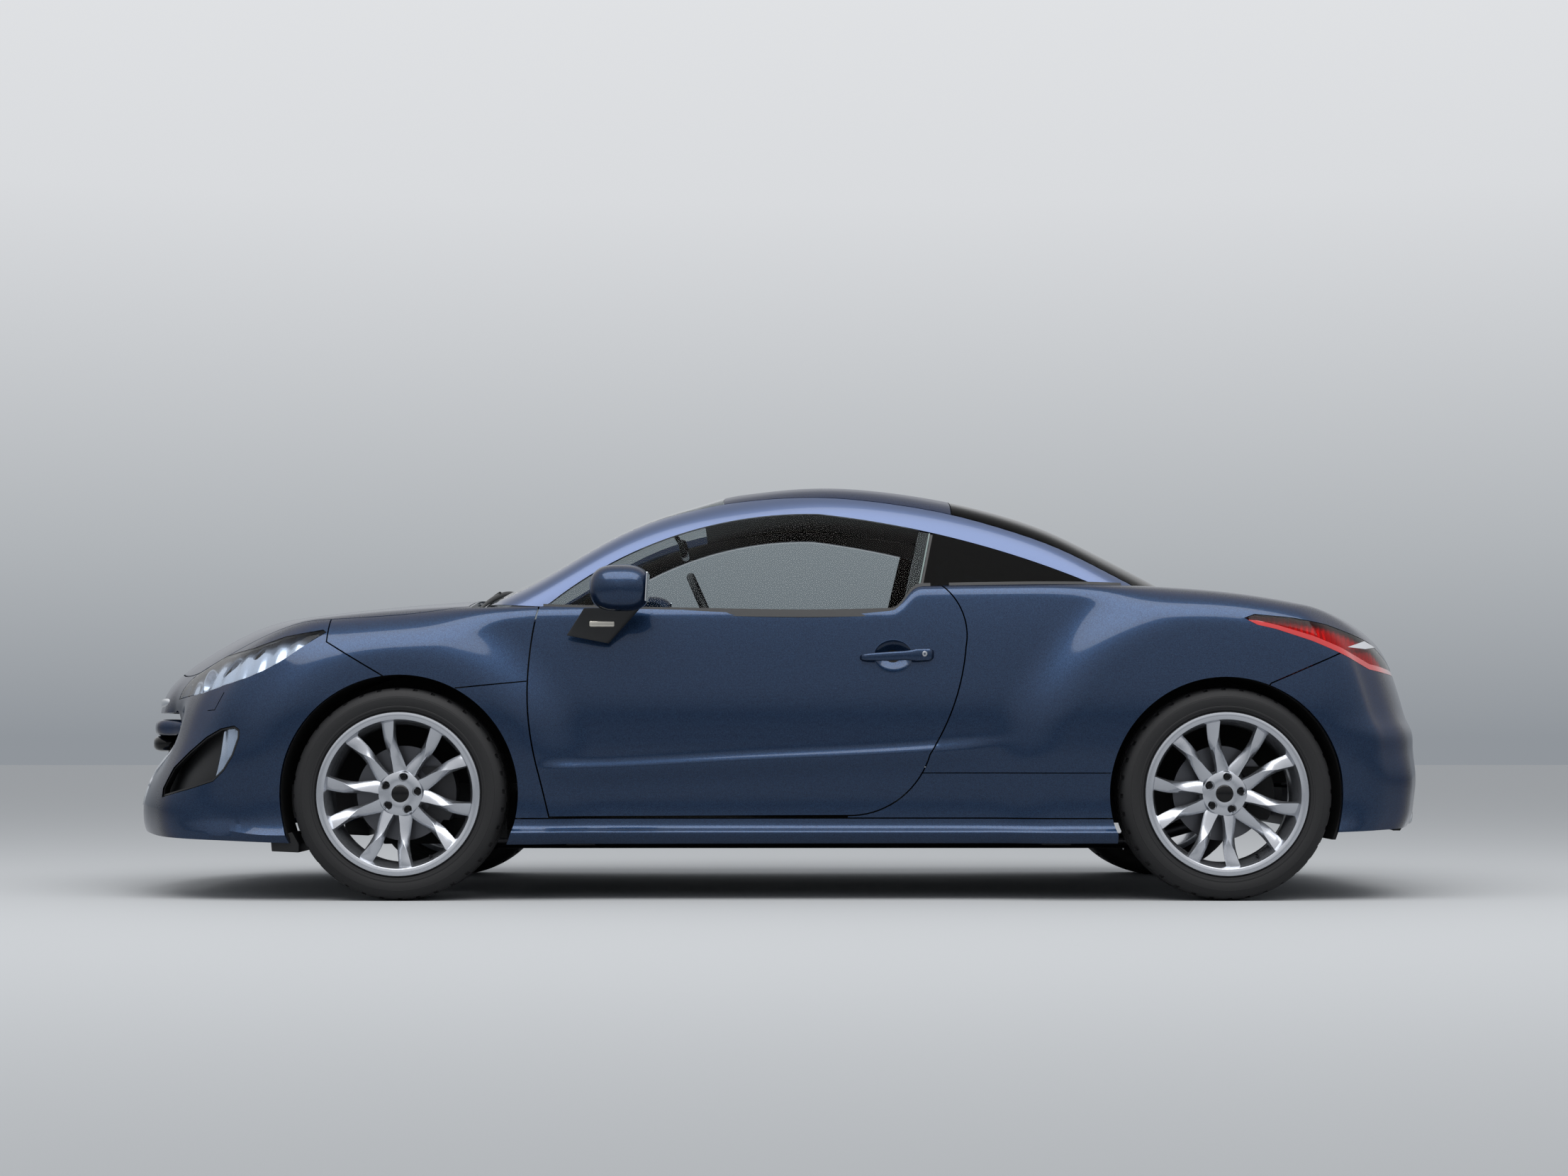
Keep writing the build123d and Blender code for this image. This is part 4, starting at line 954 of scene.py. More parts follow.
def makeHubParts():  # black cap and bolts
    cap = turned("cap", [(0.4, 50), (0.4, 69), (10, 68.7), (20, 67.4), (25, 65.8), (27.5, 63.5), (28, 60),
                         (28, 50)], 48)
    pieces = [cap]
    bolt = turned("bolt", [(0.3, 40), (0.3, 55), (4.5, 55), (5.5, 57.5), (9, 58), (10.5, 56), (11, 42),
                           (12.6, 40)], 24)
    for i in range(5):
        angle = math.radians(wheelSize["firstBolt"] + 72 * i)
        reach = wheelSize["boltCircle"]
        pieces.append(moved(copyOf(bolt, "bolt"), (reach * math.cos(angle), 0, reach * math.sin(angle))))
    bpy.data.objects.remove(bolt)
    valve = turned("valve", [(0.3, 60), (0.3, 98), (3, 97), (3.6, 90), (4.5, 74), (5, 60)], 16)
    angle = math.radians(-63)
    pieces.append(moved(valve, (219 * math.cos(angle), 0, 219 * math.sin(angle))))
    parts = joined(pieces, "hubPartsFrontRight")
    smooth(parts, 32)
    return parts


def makeTyre():
    outer = wheelSize["tyre"]
    side = [
        (243, 94), (247, 100), (256, 103.5), (260.5, 104), (262, 108), (266, 111.5), (270, 112), (271.5, 114.6),
        (276, 115.2), (277.5, 114.4), (286, 116.6), (296, 117.4), (304, 116.8), (305, 115.6), (308, 115.4),
        (309, 114.9), (316, 111.8), (322, 107.8), (327, 102.5), (330.5, 96.5), (333, 88), (334.6, 78),
        (335.1, 69), (335.2, 62), (328, 61), (328, 51), (outer - 0.1, 50), (outer, 36), (outer, 27),
        (327.5, 26), (327.5, 15),
        (outer, 14), (outer, 6),
    ]
    inside = [(322, 0), (322, 60), (314, 88), (298, 104), (280, 102), (262, 95), (246, 86)]
    profile = side + [(r, -y) for r, y in reversed(side)] + [(r, -y) for r, y in reversed(inside[1:])] + inside
    tyre = turned("tyreFrontRight", profile, 144)
    pick(tyre)
    bpy.ops.object.mode_set(mode="EDIT")
    bpy.ops.mesh.select_all(action="DESELECT")
    bpy.ops.mesh.select_mode(type="FACE")
    bpy.ops.object.mode_set(mode="OBJECT")
    for face in tyre.data.polygons:  # slots across the shoulders and ribs
        centre = face.center / mm
        radius = math.hypot(centre.x, centre.z)
        step = int(math.degrees(math.atan2(centre.z, centre.x)) % 360 / 2.5)
        shoulder = 69 < abs(centre.y) < 104 and radius > 322
        rib = 36 < abs(centre.y) < 50 and radius > 334
        face.select = face.normal.dot(face.center) > 0 and (
            (shoulder and step % 4 == 0) or (rib and step % 4 == (2 if centre.y > 0 else 0)))
    bpy.ops.object.mode_set(mode="EDIT")
    bpy.ops.mesh.extrude_region_shrink_fatten(TRANSFORM_OT_shrink_fatten={"value": -4.5 * mm})
    bpy.ops.object.mode_set(mode="OBJECT")
    smooth(tyre, 34)
    return tyre


rim, hubParts, tyre = makeRim(), makeHubParts(), makeTyre()
wheelPieces = {"rim": (rim, "alloy"), "hubParts": (hubParts, "gloss"), "tyre": (tyre, "rubber")}
for part, (piece, finish) in wheelPieces.items():
    for corner, x, y in (("front", frontAxleX, wheelSize["frontY"]), ("rear", rearAxleX, wheelSize["rearY"])):
        for side in ("right", "left"):
            name = f"{part}{corner.title()}{side.title()}"
            wheel = copyOf(piece, name + "Made")
            moved(wheel, (x, y, axleZ))
            if side == "left":
                mirroredWheel = otherSide(wheel, name + "Turned")
                bpy.data.objects.remove(wheel)
                wheel = mirroredWheel
            wheel.name = wheel.data.name = name + "Piece"
            dress(wheel, finishes[finish], f"wheel_{corner}_{side}_body")
            if part != "hubParts":
                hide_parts(f"{part}_{corner}_{side}")
    bpy.data.objects.remove(piece)
print("wheels built")


# ---- lamps
def bothSides(piece, base, finish, node=None, on="body_shell", onLeft=None):
    left = otherSide(piece, base + "Left")
    piece.name = piece.data.name = base + "Right"
    dress(piece, finishes[finish], on)
    dress(left, finishes[finish], onLeft or on)
    if node:
        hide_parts(node)
        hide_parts(node)
    return piece, left


def onDoors(piece, base, finish):
    return bothSides(piece, base, finish, None, "door_right_body", "door_left_body")


def ribbed(field, depth, ridge, pitch):
    return lambda x, y, z: field(x, y, z) + depth + ridge * np.cos(x / pitch * math.tau + np.abs(y) / 60)


def makeBowl(radius, depth, steps=40):  # reflector with a lens in its middle, open towards +Y
    return turned("bowl", [
        (0.4, -depth), (0.4, -depth + 6), (radius * 0.5, -depth + 8), (radius * 0.8, -depth * 0.55), (radius, 0),
        (radius + 4, 1), (radius + 4, -2), (radius * 0.88, -depth * 0.66), (radius * 0.55, -depth)], steps)


def makeDome(radius, height, steps=32):
    return turned("dome", [(0.3, -10), (0.3, height), (radius * 0.35, height * 0.93), (radius * 0.66, height * 0.7),
                           (radius * 0.88, height * 0.38), (radius, 0), (radius, -10)], steps)


def aimed(piece, place, aim):  # the piece's +Y turned towards aim
    turn = Vector(aim).to_track_quat("Y", "Z").to_matrix().to_4x4()
    return moved(piece, place, turn)


lampSize = {
    "main": ((-1846, 600, 692), 40, (-1, 0.75, 0.3)), "second": ((-1742, 668, 730), 36, (-1, 0.9, 0.35)),
    "turn": ((-1640, 726, 776), 24, (-1, 1, 0.4)),
}


def makeHeadlampInside():
    shell = skinPatch("headlampShell", fine(220, 60), headlampRays, ribbed(bodyField, 30, 3.5, 62), 8)
    trim(shell, sideCut("headlamp", 3), keep=True)
    for place, radius, aim in lampSize.values():
        hole = turned("hole", [(0.3, -60), (0.3, 160), (radius + 1, 160), (radius + 1, -60)], 48)
        trim(shell, aimed(hole, place, aim))
    return shell


shell = makeHeadlampInside()
smooth(shell, 30)
bothSides(shell, "headlampShell", "lampSilver")
bowls, domes = [], []
for place, radius, aim in lampSize.values():
    bowls.append(aimed(makeBowl(radius, radius * 0.8), place, aim))
    domes.append(aimed(makeDome(radius * 0.48, radius * 0.4), Vector(place) - Vector(aim) * radius * 0.45, aim))
bowl, dome = joined(bowls, "bowls"), joined(domes, "domes")
smooth(bowl, 30)
smooth(dome, 30)
bothSides(bowl, "headlampBowls", "lampSilver")
bothSides(dome, "headlampDomes", "lampGlass")


def makeTailParts():
    backing = skinPatch("tailBacking", fine(200, 50), tailLampRays, ribbed(bodyField, 20, 2.5, 18), 6)
    trim(backing, sideCut("tailLamp", 3), keep=True)
    strip = skinPatch("tailStrip", fine(160, 90), tailLampRays, deeper(bodyField, -0.8), 4)
    trim(strip, sideCut("tailStrip"), keep=True)
    trim(strip, planCut("bootLid", -10))
    sliver = skinPatch("tailSliver", fine(160, 90), tailLampRays, deeper(bodyField, -1.2), 4)
    trim(sliver, sideCut("tailSliver"), keep=True)
    return backing, strip, sliver


tailFinishes = {"tailBacking": "redGlow", "tailStrip": "brightRed", "tailSliver": "chrome"}
for piece, (base, finish) in zip(makeTailParts(), tailFinishes.items()):
    smooth(piece, 30)
    bothSides(piece, base, finish)
print("lamps built")


def surfaceAt(field, place, inner, outer, steps=40):  # where the line place(...) leaves the shape
    for _ in range(steps):
        middle = (inner + outer) / 2
        if float(field(*(np.array(value) for value in place(middle)))) < 0:
            inner = middle
        else:
            outer = middle
    return inner


# ---- nose: grille, bar, side intakes
def frontCut(points, low, high, inset=0):
    return outlineCutter(shrunk(traceOutline(points), inset), "front", low, high)


def makeGrille():
    back = skinPatch("grilleBack", fine(120, 40), noseRays, deeper(bodyField, 118), 8)
    trim(back, frontCut(outlines["mouth"], -2300, -1700, -12), keep=True)
    slats = skinPatch("grilleSlats", fine(200, 60), noseRays, deeper(bodyField, 62), 36)
    trim(slats, frontCut(outlines["mouth"], -2300, -1700, -3), keep=True)
    gaps = []
    for i in range(8):
        z = 300 + i * 37
        gaps.append(frontCut([(-620, z), (620, z), (620, z + 27), (-620, z + 27)], -2300, -1700))
    trim(slats, joined(gaps, "gaps"))
    grille = joined([back, slats], "grilleInsert")
    smooth(grille, 30)
    return grille


def noseAt(y, z):  # where the nose's surface is there
    return surfaceAt(bodyField, lambda x: (x, y, z), -1700.0, -2300.0)


noseSize = {  # half length, height above the ground, half height, how far proud of the nose
    "bar": (466, 546, 28, 15), "plateHolder": (306, 493, 28, 18), "lip": (372, 628, 17, 6),
}


def noseBar(name, part, depth):  # a bar that follows the nose's plan
    half, z, halfZ, proud = noseSize[part]
    rings = []
    for t in np.linspace(-1, 1, 61):
        y = half * math.sin(t * math.pi / 2)
        ends = max(1 - abs(y / half) ** 14, 0.02) ** 0.5
        x = noseAt(y, z) - proud + depth / 2
        rings.append([(x + u, y, z + v) for u, v in rounded(depth / 2 * ends, halfZ * ends, 0, 32, 0.62)])
    bar = loftRings(name, rings)
    smooth(bar, 45)
    return bar


def makeBar():
    parts = (("bumperBar", "bar", 92), ("plateHolder", "plateHolder", 96), ("noseLip", "lip", 30))
    return [noseBar(*part) for part in parts]


def makeTrim():
    lip = skinPatch("mouthTrim", fine(260, 80), noseRays, deeper(bodyField, -4), 16)
    trim(lip, frontCut(outlines["mouth"], -2300, -1700, -9), keep=True)
    trim(lip, frontCut(outlines["mouth"], -2300, -1700, 1))
    trim(lip, frontCut([(-446, 200), (446, 200), (446, 650), (-446, 650)], -2300, -1700))
    trim(lip, frontCut([(-520, 552), (520, 552), (520, 650), (-520, 650)], -2300, -1700))
    smooth(lip, 35)
    return lip


grille, mouthTrim = makeGrille(), makeTrim()
bumperBar, plateHolder, noseLip = makeBar()
dress(plateHolder, finishes["gloss"], "body_shell")
dress(noseLip, finishes["chrome"], "body_shell")
dress(grille, finishes["black"], "body_shell")
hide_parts("grille")
dress(bumperBar, finishes["paint"], "body_shell")
dress(mouthTrim, finishes["chrome"], "body_shell")


def makeIntake():
    rays = flankRays(-1640, -1400, -40, 30, 260, 500, 80)
    well = skinPatch("intakeWell", fine(60, 40), rays, deeper(bodyField, 48), 8)
    trim(well, sideCut("intake", -10), keep=True)
    wall = skinPatch("intakeWall", fine(80, 50), rays, deeper(bodyField, 6), 46)
    trim(wall, sideCut("intake", seam / 2), keep=True)
    trim(wall, sideCut("intake", 6))
    strip = skinPatch("fogLens", fine(80, 60), rays, deeper(bodyField, 3), 5)
    trim(strip, sideCut("fog", 1), keep=True)
    reflector = skinPatch("fogReflector", fine(120, 90), rays, ribbed(bodyField, 17, 3.5, 15), 10)
    trim(reflector, sideCut("fog", 2), keep=True)
    intake = joined([well, wall], "intake")
    for piece in (intake, strip, reflector):
        smooth(piece, 30)
    return intake, strip, reflector


intake, fogLens, fogReflector = makeIntake()
bothSides(intake, "sideIntake", "black")
bothSides(fogLens, "fogLens", "clearLens")
bothSides(fogReflector, "fogReflector", "lampSilver")
flap = outlineCutter([(-1598, 196), (-1594, 153), (-1508, 149), (-1508, 176), (-1530, 214)], "side", 610, 838)
flap.name = flap.data.name = "wheelDeflector"
finishWith(flap, "BEVEL", width=2 * mm, segments=2)
smooth(flap, 30)
bothSides(flap, "wheelDeflector", "black")
print("nose built")


# ---- mirrors and handles
mirrorSize = {"x0": -584, "x1": -390, "z0": 906, "z1": 1058, "y0": 868, "y1": 1050, "halfX": 97, "halfZ": 74}


def makeMirror():
    size = mirrorSize
    xm, zm = (size["x0"] + size["x1"]) / 2, (size["z0"] + size["z1"]) / 2
    rings = []
    for u in np.linspace(0.02, 1, 24):  # from the car outwards
        t = math.sin(u * math.pi / 2)
        y = size["y0"] + 12 + (size["y1"] - size["y0"] - 12) * t
        over = max(t - 0.4, 0) / 0.6
        swell = max(1 - over ** 2.6, 0.0004) ** 0.5 * (1 - 0.42 * (max(0.4 - t, 0) / 0.4) ** 2)
        ring = []
        for i in range(40):
            a = math.tau * i / 40
            x = xm + 4 * t + size["halfX"] * swell * squared(math.cos(a), 0.72)
            z = zm + 3 - 6 * t + size["halfZ"] * swell * squared(math.sin(a), 0.8)
            ring.append((x, y, z))
        rings.append(ring)
    housing = loftRings("mirrorHousing", rings)
    face = [(size["x1"] - 18, 700), (size["x1"] + 60, 700), (size["x1"] + 60, 1300), (size["x1"] - 4, 1300)]
    trim(housing, outlineCutter(face, "side", 700, 1200))
    finishWith(housing, "BEVEL", width=4 * mm, segments=2, limit_method="ANGLE", angle_limit=math.radians(55))
    smooth(housing, 40)
    glass = roundBox("mirrorGlass", (-3, -62, -46), (3, 62, 46), 2.9, 2)
    moved(glass, (size["x1"] - 11, 962, zm + 2), Matrix.Rotation(math.radians(3), 4, "Y"))
    rings = []
    for t in np.linspace(0, 1, 10):
        x, z, half = -594 + 81 * t, 824 + 96 * t, 67 + 22 * t
        y = 864 + 62 * t ** 1.3
        rings.append([(x + u, y + v, z - 13 * (1 - t) * u / half) for u, v in rounded(half, 17, 0, 28, 0.7)])
    foot = loftRings("mirrorFoot", rings)
    finishWith(foot, "BEVEL", width=3 * mm, segments=2, limit_method="ANGLE", angle_limit=math.radians(50))
    smooth(foot, 40)
    repeater = roundBox("mirrorRepeater", (-586, 884, 862), (-506, 910, 882), 5)
    moved(repeater, (0, 4, 0))
    smooth(repeater, 40)
    return housing, glass, foot, repeater


housing, mirrorGlass, mirrorFoot, repeater = makeMirror()
onDoors(repeater, "mirrorRepeater", "fogGlass")
for right, left in (onDoors(housing, "mirrorHousing", "paint"),
                    onDoors(mirrorFoot, "mirrorFoot", "black")):
    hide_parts("mirror_right")
    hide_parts("mirror_left")
onDoors(mirrorGlass, "mirrorGlass", "chrome")

handleSize = {"x0": 271, "x1": 506, "z": 767, "cupX": 377, "cupZ": 772, "cupHalf": 61, "lock": (476, 778)}


def skinY(x, z):  # how far out the body's side is there
    return surfaceAt(bodyField, lambda y: (x, y, z), 600.0, 1000.0)


def makeHandle():
    size = handleSize
    rings = []
    for t in np.linspace(0, 1, 34):
        x = size["x0"] + (size["x1"] - size["x0"]) * t
        z = size["z"] + 10 * t
        lift = np.interp(t, (0, 0.03, 0.12, 0.5, 0.66, 0.76, 0.95, 1), (3, 13, 23, 29, 27, 21, 17, 4))
        half = np.interp(t, (0, 0.03, 0.1, 0.35, 0.62, 0.7, 0.76, 0.96, 1), (6, 10, 12, 14, 15, 17, 20, 19, 12))
        y = skinY(x, z)
        rings.append([(x, y + lift - 8 + 8.5 * u, z + half * v) for u, v in rounded(1, 1, 0, 24, 0.8)])
    bar = loftRings("handleBar", rings)
    smooth(bar, 45)
    cup = turned("handleCup", [(0.4, -26), (0.4, -20), (0.62, -16), (0.86, -7), (1, 1.5), (1.06, 1.2),
                               (0.94, -9), (0.7, -20)], 40)
    for vertex in cup.data.vertices:
        x, y, z = vertex.co
        px, pz = size["cupX"] + x / mm * size["cupHalf"], size["cupZ"] + z / mm * 51
        vertex.co = Vector((px, skinY(px, pz) + y / mm, pz)) * mm
    smooth(cup, 40)
    lockX, lockZ = size["lock"]
    lock = turned("doorLock", [(0.3, -6), (0.3, 0.4), (2.4, 0.4), (2.8, 2), (7.4, 2), (8.4, 1), (8.6, -6)], 32)
    moved(lock, (lockX, skinY(lockX, lockZ) + 18.5, lockZ))
    smooth(lock, 40)
    return bar, cup, lock


handleBar, handleCup, doorLock = makeHandle()
cupCutter = []
for i in range(40):
    angle = math.tau * i / 40
    cupCutter.append((handleSize["cupX"] + 60 * math.cos(angle), handleSize["cupZ"] + 50 * math.sin(angle)))
for skin, low, high in ((door, 780, 1100), (bpy.data.objects["doorSkinLeft"], -1100, -780)):
    trim(skin, outlineCutter(cupCutter, "side", low, high))
    smooth(skin, 28)
onDoors(handleBar, "doorHandle", "paint")
onDoors(handleCup, "doorHandleCup", "paint")
onDoors(doorLock, "doorLock", "alloy")
print("mirrors and handles built")


# ---- cabin: seats, steering wheel, dashboard
def puff(obj, limit, pressure=4.0):  # fills a pad as foam under its cover does
    pick(obj)
    remesh = obj.modifiers.new("Remesh", "REMESH")
    remesh.mode = "VOXEL"
    remesh.voxel_size = 0.009
    bpy.ops.object.modifier_apply(modifier=remesh.name)
    start = pointsOf(obj)
    cloth = obj.modifiers.new("Cloth", "CLOTH")
    cloth.settings.use_pressure = True
    cloth.settings.uniform_pressure_force = pressure
    cloth.settings.effector_weights.gravity = 0
    cloth.point_cache.frame_end = 20
    for frameNumber in range(1, 21):
        bpy.context.scene.frame_set(frameNumber)
    bpy.ops.object.modifier_apply(modifier=cloth.name)
    bpy.context.scene.frame_set(1)
    shift = pointsOf(obj) - start
    length = np.linalg.norm(shift, axis=1, keepdims=True)
    shift *= np.minimum(1, limit * mm / np.maximum(length, 1e-9))
    obj.data.vertices.foreach_set("co", (start + shift).ravel())
    finishWith(obj, "SUBSURF", levels=1, render_levels=1)


seatSize = {"middleY": 385, "half": 232, "front": -96, "back": 330, "top": 408, "padThick": 110, "bolster": 42}


def seatSection(half, thick, bolster, lean=0):  # (across, up) points: flat middle with raised sides
    ring, count = [], 44
    for i in range(count):
        a = math.tau * i / count
        across, up = half * squared(math.cos(a), 0.5), thick / 2 * squared(math.sin(a), 0.6)
        side = ramp(abs(across), half * 0.52, half * 0.9)
        ring.append((across, up + (bolster if math.sin(a) > 0 else lean) * side))
    return ring


def makeCushion():
    size, rings = seatSize, []
    for t in np.linspace(0, 1, 16):
        x = size["front"] + (size["back"] - size["front"]) * t
        ends = (1 - (2 * t - 1) ** 8) ** 0.5 * 0.88 + 0.12
        z = size["top"] - 52 + 22 * math.sin(math.pi * (1 - t) * 0.5) - 4
        bolster = size["bolster"] * (0.4 + 0.6 * t) * ends
        ring = seatSection(size["half"] - 14 * (1 - ends), size["padThick"] * ends, bolster)
        rings.append([(x, size["middleY"] + a, z + b) for a, b in ring])
    cushion = loftRings("seatCushion", rings)
    puff(cushion, 9)
    return cushion


def makeBack():
    size, rings = seatSize, []
    for t in np.linspace(0, 1, 18):
        along = 40 + 560 * t
        lean = math.radians(13.5)
        x, z = 402 + along * math.sin(lean) + 6 * math.sin(math.pi * t), 388 + along * math.cos(lean)
        ends = (1 - (2 * t - 1) ** 8) ** 0.5 * 0.86 + 0.14
        half = size["half"] * (1 - 0.26 * ramp(t, 0.55, 1)) - 10 * (1 - ends)
        ring = seatSection(half, 96 * ends, 52 * (1 - 0.55 * t) * ends, -6)
        rings.append([(x - b * math.cos(lean), size["middleY"] + a, z + b * math.sin(lean)) for a, b in ring])
    back = loftRings("seatBack", rings)
    puff(back, 9)
    return back


def makeHeadrest():
    rings = []
    for t in np.linspace(0, 1, 14):
        ends = (1 - (2 * t - 1) ** 6) ** 0.5 * 0.8 + 0.2
        y = seatSize["middleY"] - 128 + 256 * t
        rings.append([(592 + a * 0.92, y, 1052 + b) for a, b in rounded(44 * ends, 60 * ends, 0, 30, 0.7)])
    headrest = loftRings("headrest", rings)
    puff(headrest, 6)
    return headrest


def makeSeatBase():
    pieces = [roundBox("base", (-70, 165, 208), (500, 605, 322), 26),
              roundBox("shell", (556, 215, 420), (578, 555, 800), 10)]
    for y in (325, 445):
        post = turned("post", [(0.3, 0), (0.3, 95), (6.5, 95), (6.5, 0)], 16)
        pieces.append(moved(post, (582, y, 945), Matrix.Rotation(math.radians(90), 4, "X")))
    pieces.append(roundBox("lever", (-30, 612, 300), (80, 634, 326), 8))
    return joined(pieces, "seatBase")


seatParts = [(makeCushion(), "seatCushion", "leather", 0.8), (makeBack(), "seatBack", "leather", 0.8),
             (makeHeadrest(), "headrest", "leather", 0.9), (makeSeatBase(), "seatBase", "black", None)]
for piece, base, finish, fill in seatParts:
    smooth(piece, 40)
    for part in bothSides(piece, base, finish, "front_seats"):
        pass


def makeBench():
    pieces = []
    for middle in (-285, 285):
        for (x0, x1, z0, z1, thick, lean) in ((792, 1040, 470, 452, 96, 0), (1040, 1100, 500, 872, 92, 1)):
            rings = []
            for t in np.linspace(0, 1, 14):
                ends = (1 - (2 * t - 1) ** 8) ** 0.5 * 0.86 + 0.14
                ring = seatSection(262 - 8 * (1 - ends), thick * ends, 18 * ends)
                x, z = x0 + (x1 - x0) * t, z0 + (z1 - z0) * t
                if lean:
                    rings.append([(x - 28 - b, middle + a, z) for a, b in ring])
                else:
                    rings.append([(x, middle + a, z + b) for a, b in ring])
            pieces.append(loftRings("benchPad", rings))
    return pieces


for i, pad in enumerate(makeBench()):
    puff(pad, 8)
    smooth(pad, 40)
    pad.name = pad.data.name = f"benchPad{i + 1}"
    dress(pad, finishes["leather"], "body_shell")
    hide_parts("rear_bench")
benchFrame = roundBox("benchFrame", (800, -560, 404), (1096, 560, 430), 10)
benchBack = roundBox("benchBack", (1072, -560, 404), (1112, 560, 860), 12)
benchFrame = joined([benchFrame, benchBack], "benchFrame")
smooth(benchFrame, 40)
dress(benchFrame, finishes["black"], "body_shell")
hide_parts("rear_bench")
print("seats built")

wheelRim = {"centre": (-213, -370, 895), "radius": 171, "grip": 14.5, "rake": 24}


def makeSteeringWheel():
    bpy.ops.mesh.primitive_torus_add(major_segments=72, minor_segments=18, major_radius=wheelRim["radius"] * mm,
                                     minor_radius=wheelRim["grip"] * mm, rotation=(0, math.pi / 2, 0))
    ring = settle(bpy.context.object, "wheelRing")
    pieces = []
    for angle in (0, 180, 270):
        a = math.radians(angle)
        rings = []
        for t in np.linspace(0, 1, 8):
            reach = 34 + (wheelRim["radius"] - 30) * t
            half = 26 - 13 * math.sin(math.pi * t * 0.5) if angle != 270 else 30 - 8 * t
            centre = Vector((-20 + 14 * t, reach * math.cos(a), reach * math.sin(a)))
            across = Vector((0, -math.sin(a), math.cos(a)))
            rings.append([centre + across * u + Vector((v, 0, 0)) for u, v in rounded(half, 6, 0, 20, 0.6)])
        pieces.append(loftRings("spoke", rings))
    hub = []
    for x, scale in ((-46, 0.7), (-30, 0.95), (-14, 1.0), (-2, 0.94), (5, 0.76), (8, 0.4)):
        hub.append([(x, u, v - 4) for u, v in rounded(70 * scale, 56 * scale, 0, 36, 0.7)])
    pieces.append(loftRings("airbag", hub))
    middle = joined(pieces, "wheelMiddle")
    for piece in (ring, middle):
        moved(piece, wheelRim["centre"], Matrix.Rotation(math.radians(-wheelRim["rake"]), 4, "Y"))
        smooth(piece, 40)
    return ring, middle


for piece, name, finish in zip(makeSteeringWheel(), ("steeringRing", "steeringMiddle"), ("leather", "softTrim")):
    piece.name = piece.data.name = name
    dress(piece, finishes[finish], "steering_wheel_body")
    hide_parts("steering_wheel")


def makeDashParts():
    hood = []
    for t in np.linspace(0, 1, 10):
        x = -640 + 180 * t
        width, height = 168 - 10 * t, 52 + 12 * t
        hood.append([(x, -370 + u, 902 + v * (1 if v > 0 else 0.3)) for u, v in rounded(width, height, 0, 36, 0.8)])
    hood = loftRings("instrumentHood", hood)
    dial = []
    for y in (-432, -370, -308):
        clock = turned("dial", [(0.3, -2), (0.3, 2), (26, 2), (27, 6), (31, 6), (31, -2)], 36)
        dial.append(moved(clock, (-459, y, 908), Matrix.Rotation(math.radians(-90), 4, "Z")))
    vents = []
    for y in (-600, -80, 80, 600):
        vent = turned("vent", [(22, -8), (22, -2), (34, 0), (38, 5), (43, 5), (44, -8)], 40)
        vents.append(moved(vent, (-500, y, 822), Matrix.Rotation(math.radians(-90), 4, "Z")))
        for dz in (-14, 0, 14):
            vents.append(roundBox("blade", (-506, y - 27, 821 + dz), (-496, y + 27, 824 + dz), 1, 1))
    console = roundBox("console", (-560, -105, 332), (240, 105, 430), 26)
    stack = roundBox("stack", (-560, -118, 420), (-478, 118, 800), 30)
    screen = roundBox("screen", (-500, -96, 640), (-471, 96, 760), 6)
    lever = turned("lever", [(0.3, 0), (0.3, 112), (14, 108), (22, 92), (22, 76), (13, 60), (8, 50), (8, 16),
                             (46, 4), (50, 0)], 32)
    moved(lever, (-250, 0, 428), Matrix.Rotation(math.radians(90), 4, "X"))
    return (joined([hood, console, stack], "dashTrim"), joined(dial + [screen, lever], "dashDials"),
            joined(vents, "dashVents"))


for piece, finish in zip(makeDashParts(), ("softTrim", "gloss", "alloy")):
    smooth(piece, 40)
    dress(piece, finishes[finish], "body_shell")


def makeInnerMirror():
    head = roundBox("head", (-14, -118, -31), (14, 118, 31), 13)
    moved(head, (-318, 0, 1168), Matrix.Rotation(math.radians(-8), 4, "Y"))
    stalk = turned("stalk", [(0.3, 0), (0.3, 96), (13, 94), (9, 70), (8, 20), (11, 0)], 20)
    moved(stalk, (-322, 0, 1176), Vector((-0.5, 0, 0.86)).to_track_quat("Y", "Z").to_matrix().to_4x4())
    mirror = joined([head, stalk], "innerMirror")
    smooth(mirror, 40)
    return dress(mirror, finishes["gloss"], "body_shell")


makeInnerMirror()


def makeDoorCard():
    arm = roundBox("armrest", (-420, 748, 640), (280, 800, 700), 22)
    pocket = roundBox("pocket", (-520, 762, 350), (250, 800, 460), 20)
    pull = roundBox("pull", (-470, 775, 760), (-350, 798, 786), 8)
    card = joined([arm, pocket, pull], "doorCard")
    smooth(card, 40)
    return card


onDoors(makeDoorCard(), "doorCard", "softTrim")


def bodyTop(x, y):  # height of the body there, under the glass
    return surfaceAt(bodyField, lambda z: (x, y, z), 800.0, 1100.0, 30)


def makeSeal(name, x0, x1):  # rubber lip where the glass goes into the body
    foot = [(x, bodyTop(x, float(glassFoot(x, 4)))) for x in np.linspace(x0, x1, 80)]
    seal = skinPatch(name, fine(160, 90), flankRays(x0 - 20, x1 + 20, -2, 12, 0, 900), deeper(cabinField, -3), 11)
    band = [(x, z + 9) for x, z in foot] + [(x, z - 16) for x, z in reversed(foot)]
    trim(seal, outlineCutter(band, "side", -1500, 1500), keep=True)
    smooth(seal, 40)
    return seal


def makePaneEdge():
    edge = skinPatch("paneEdge", fine(60, 90), flankRays(420, 545, 1, 60, 0, 900), deeper(cabinField, -1), 8)
    trim(edge, outlineCutter([(437, 885), (441, 885), (518, 1235), (514, 1235)], "side", -1500, 1500), keep=True)
    trim(edge, sideCut("archLow", 4), keep=True)
    smooth(edge, 40)
    return edge


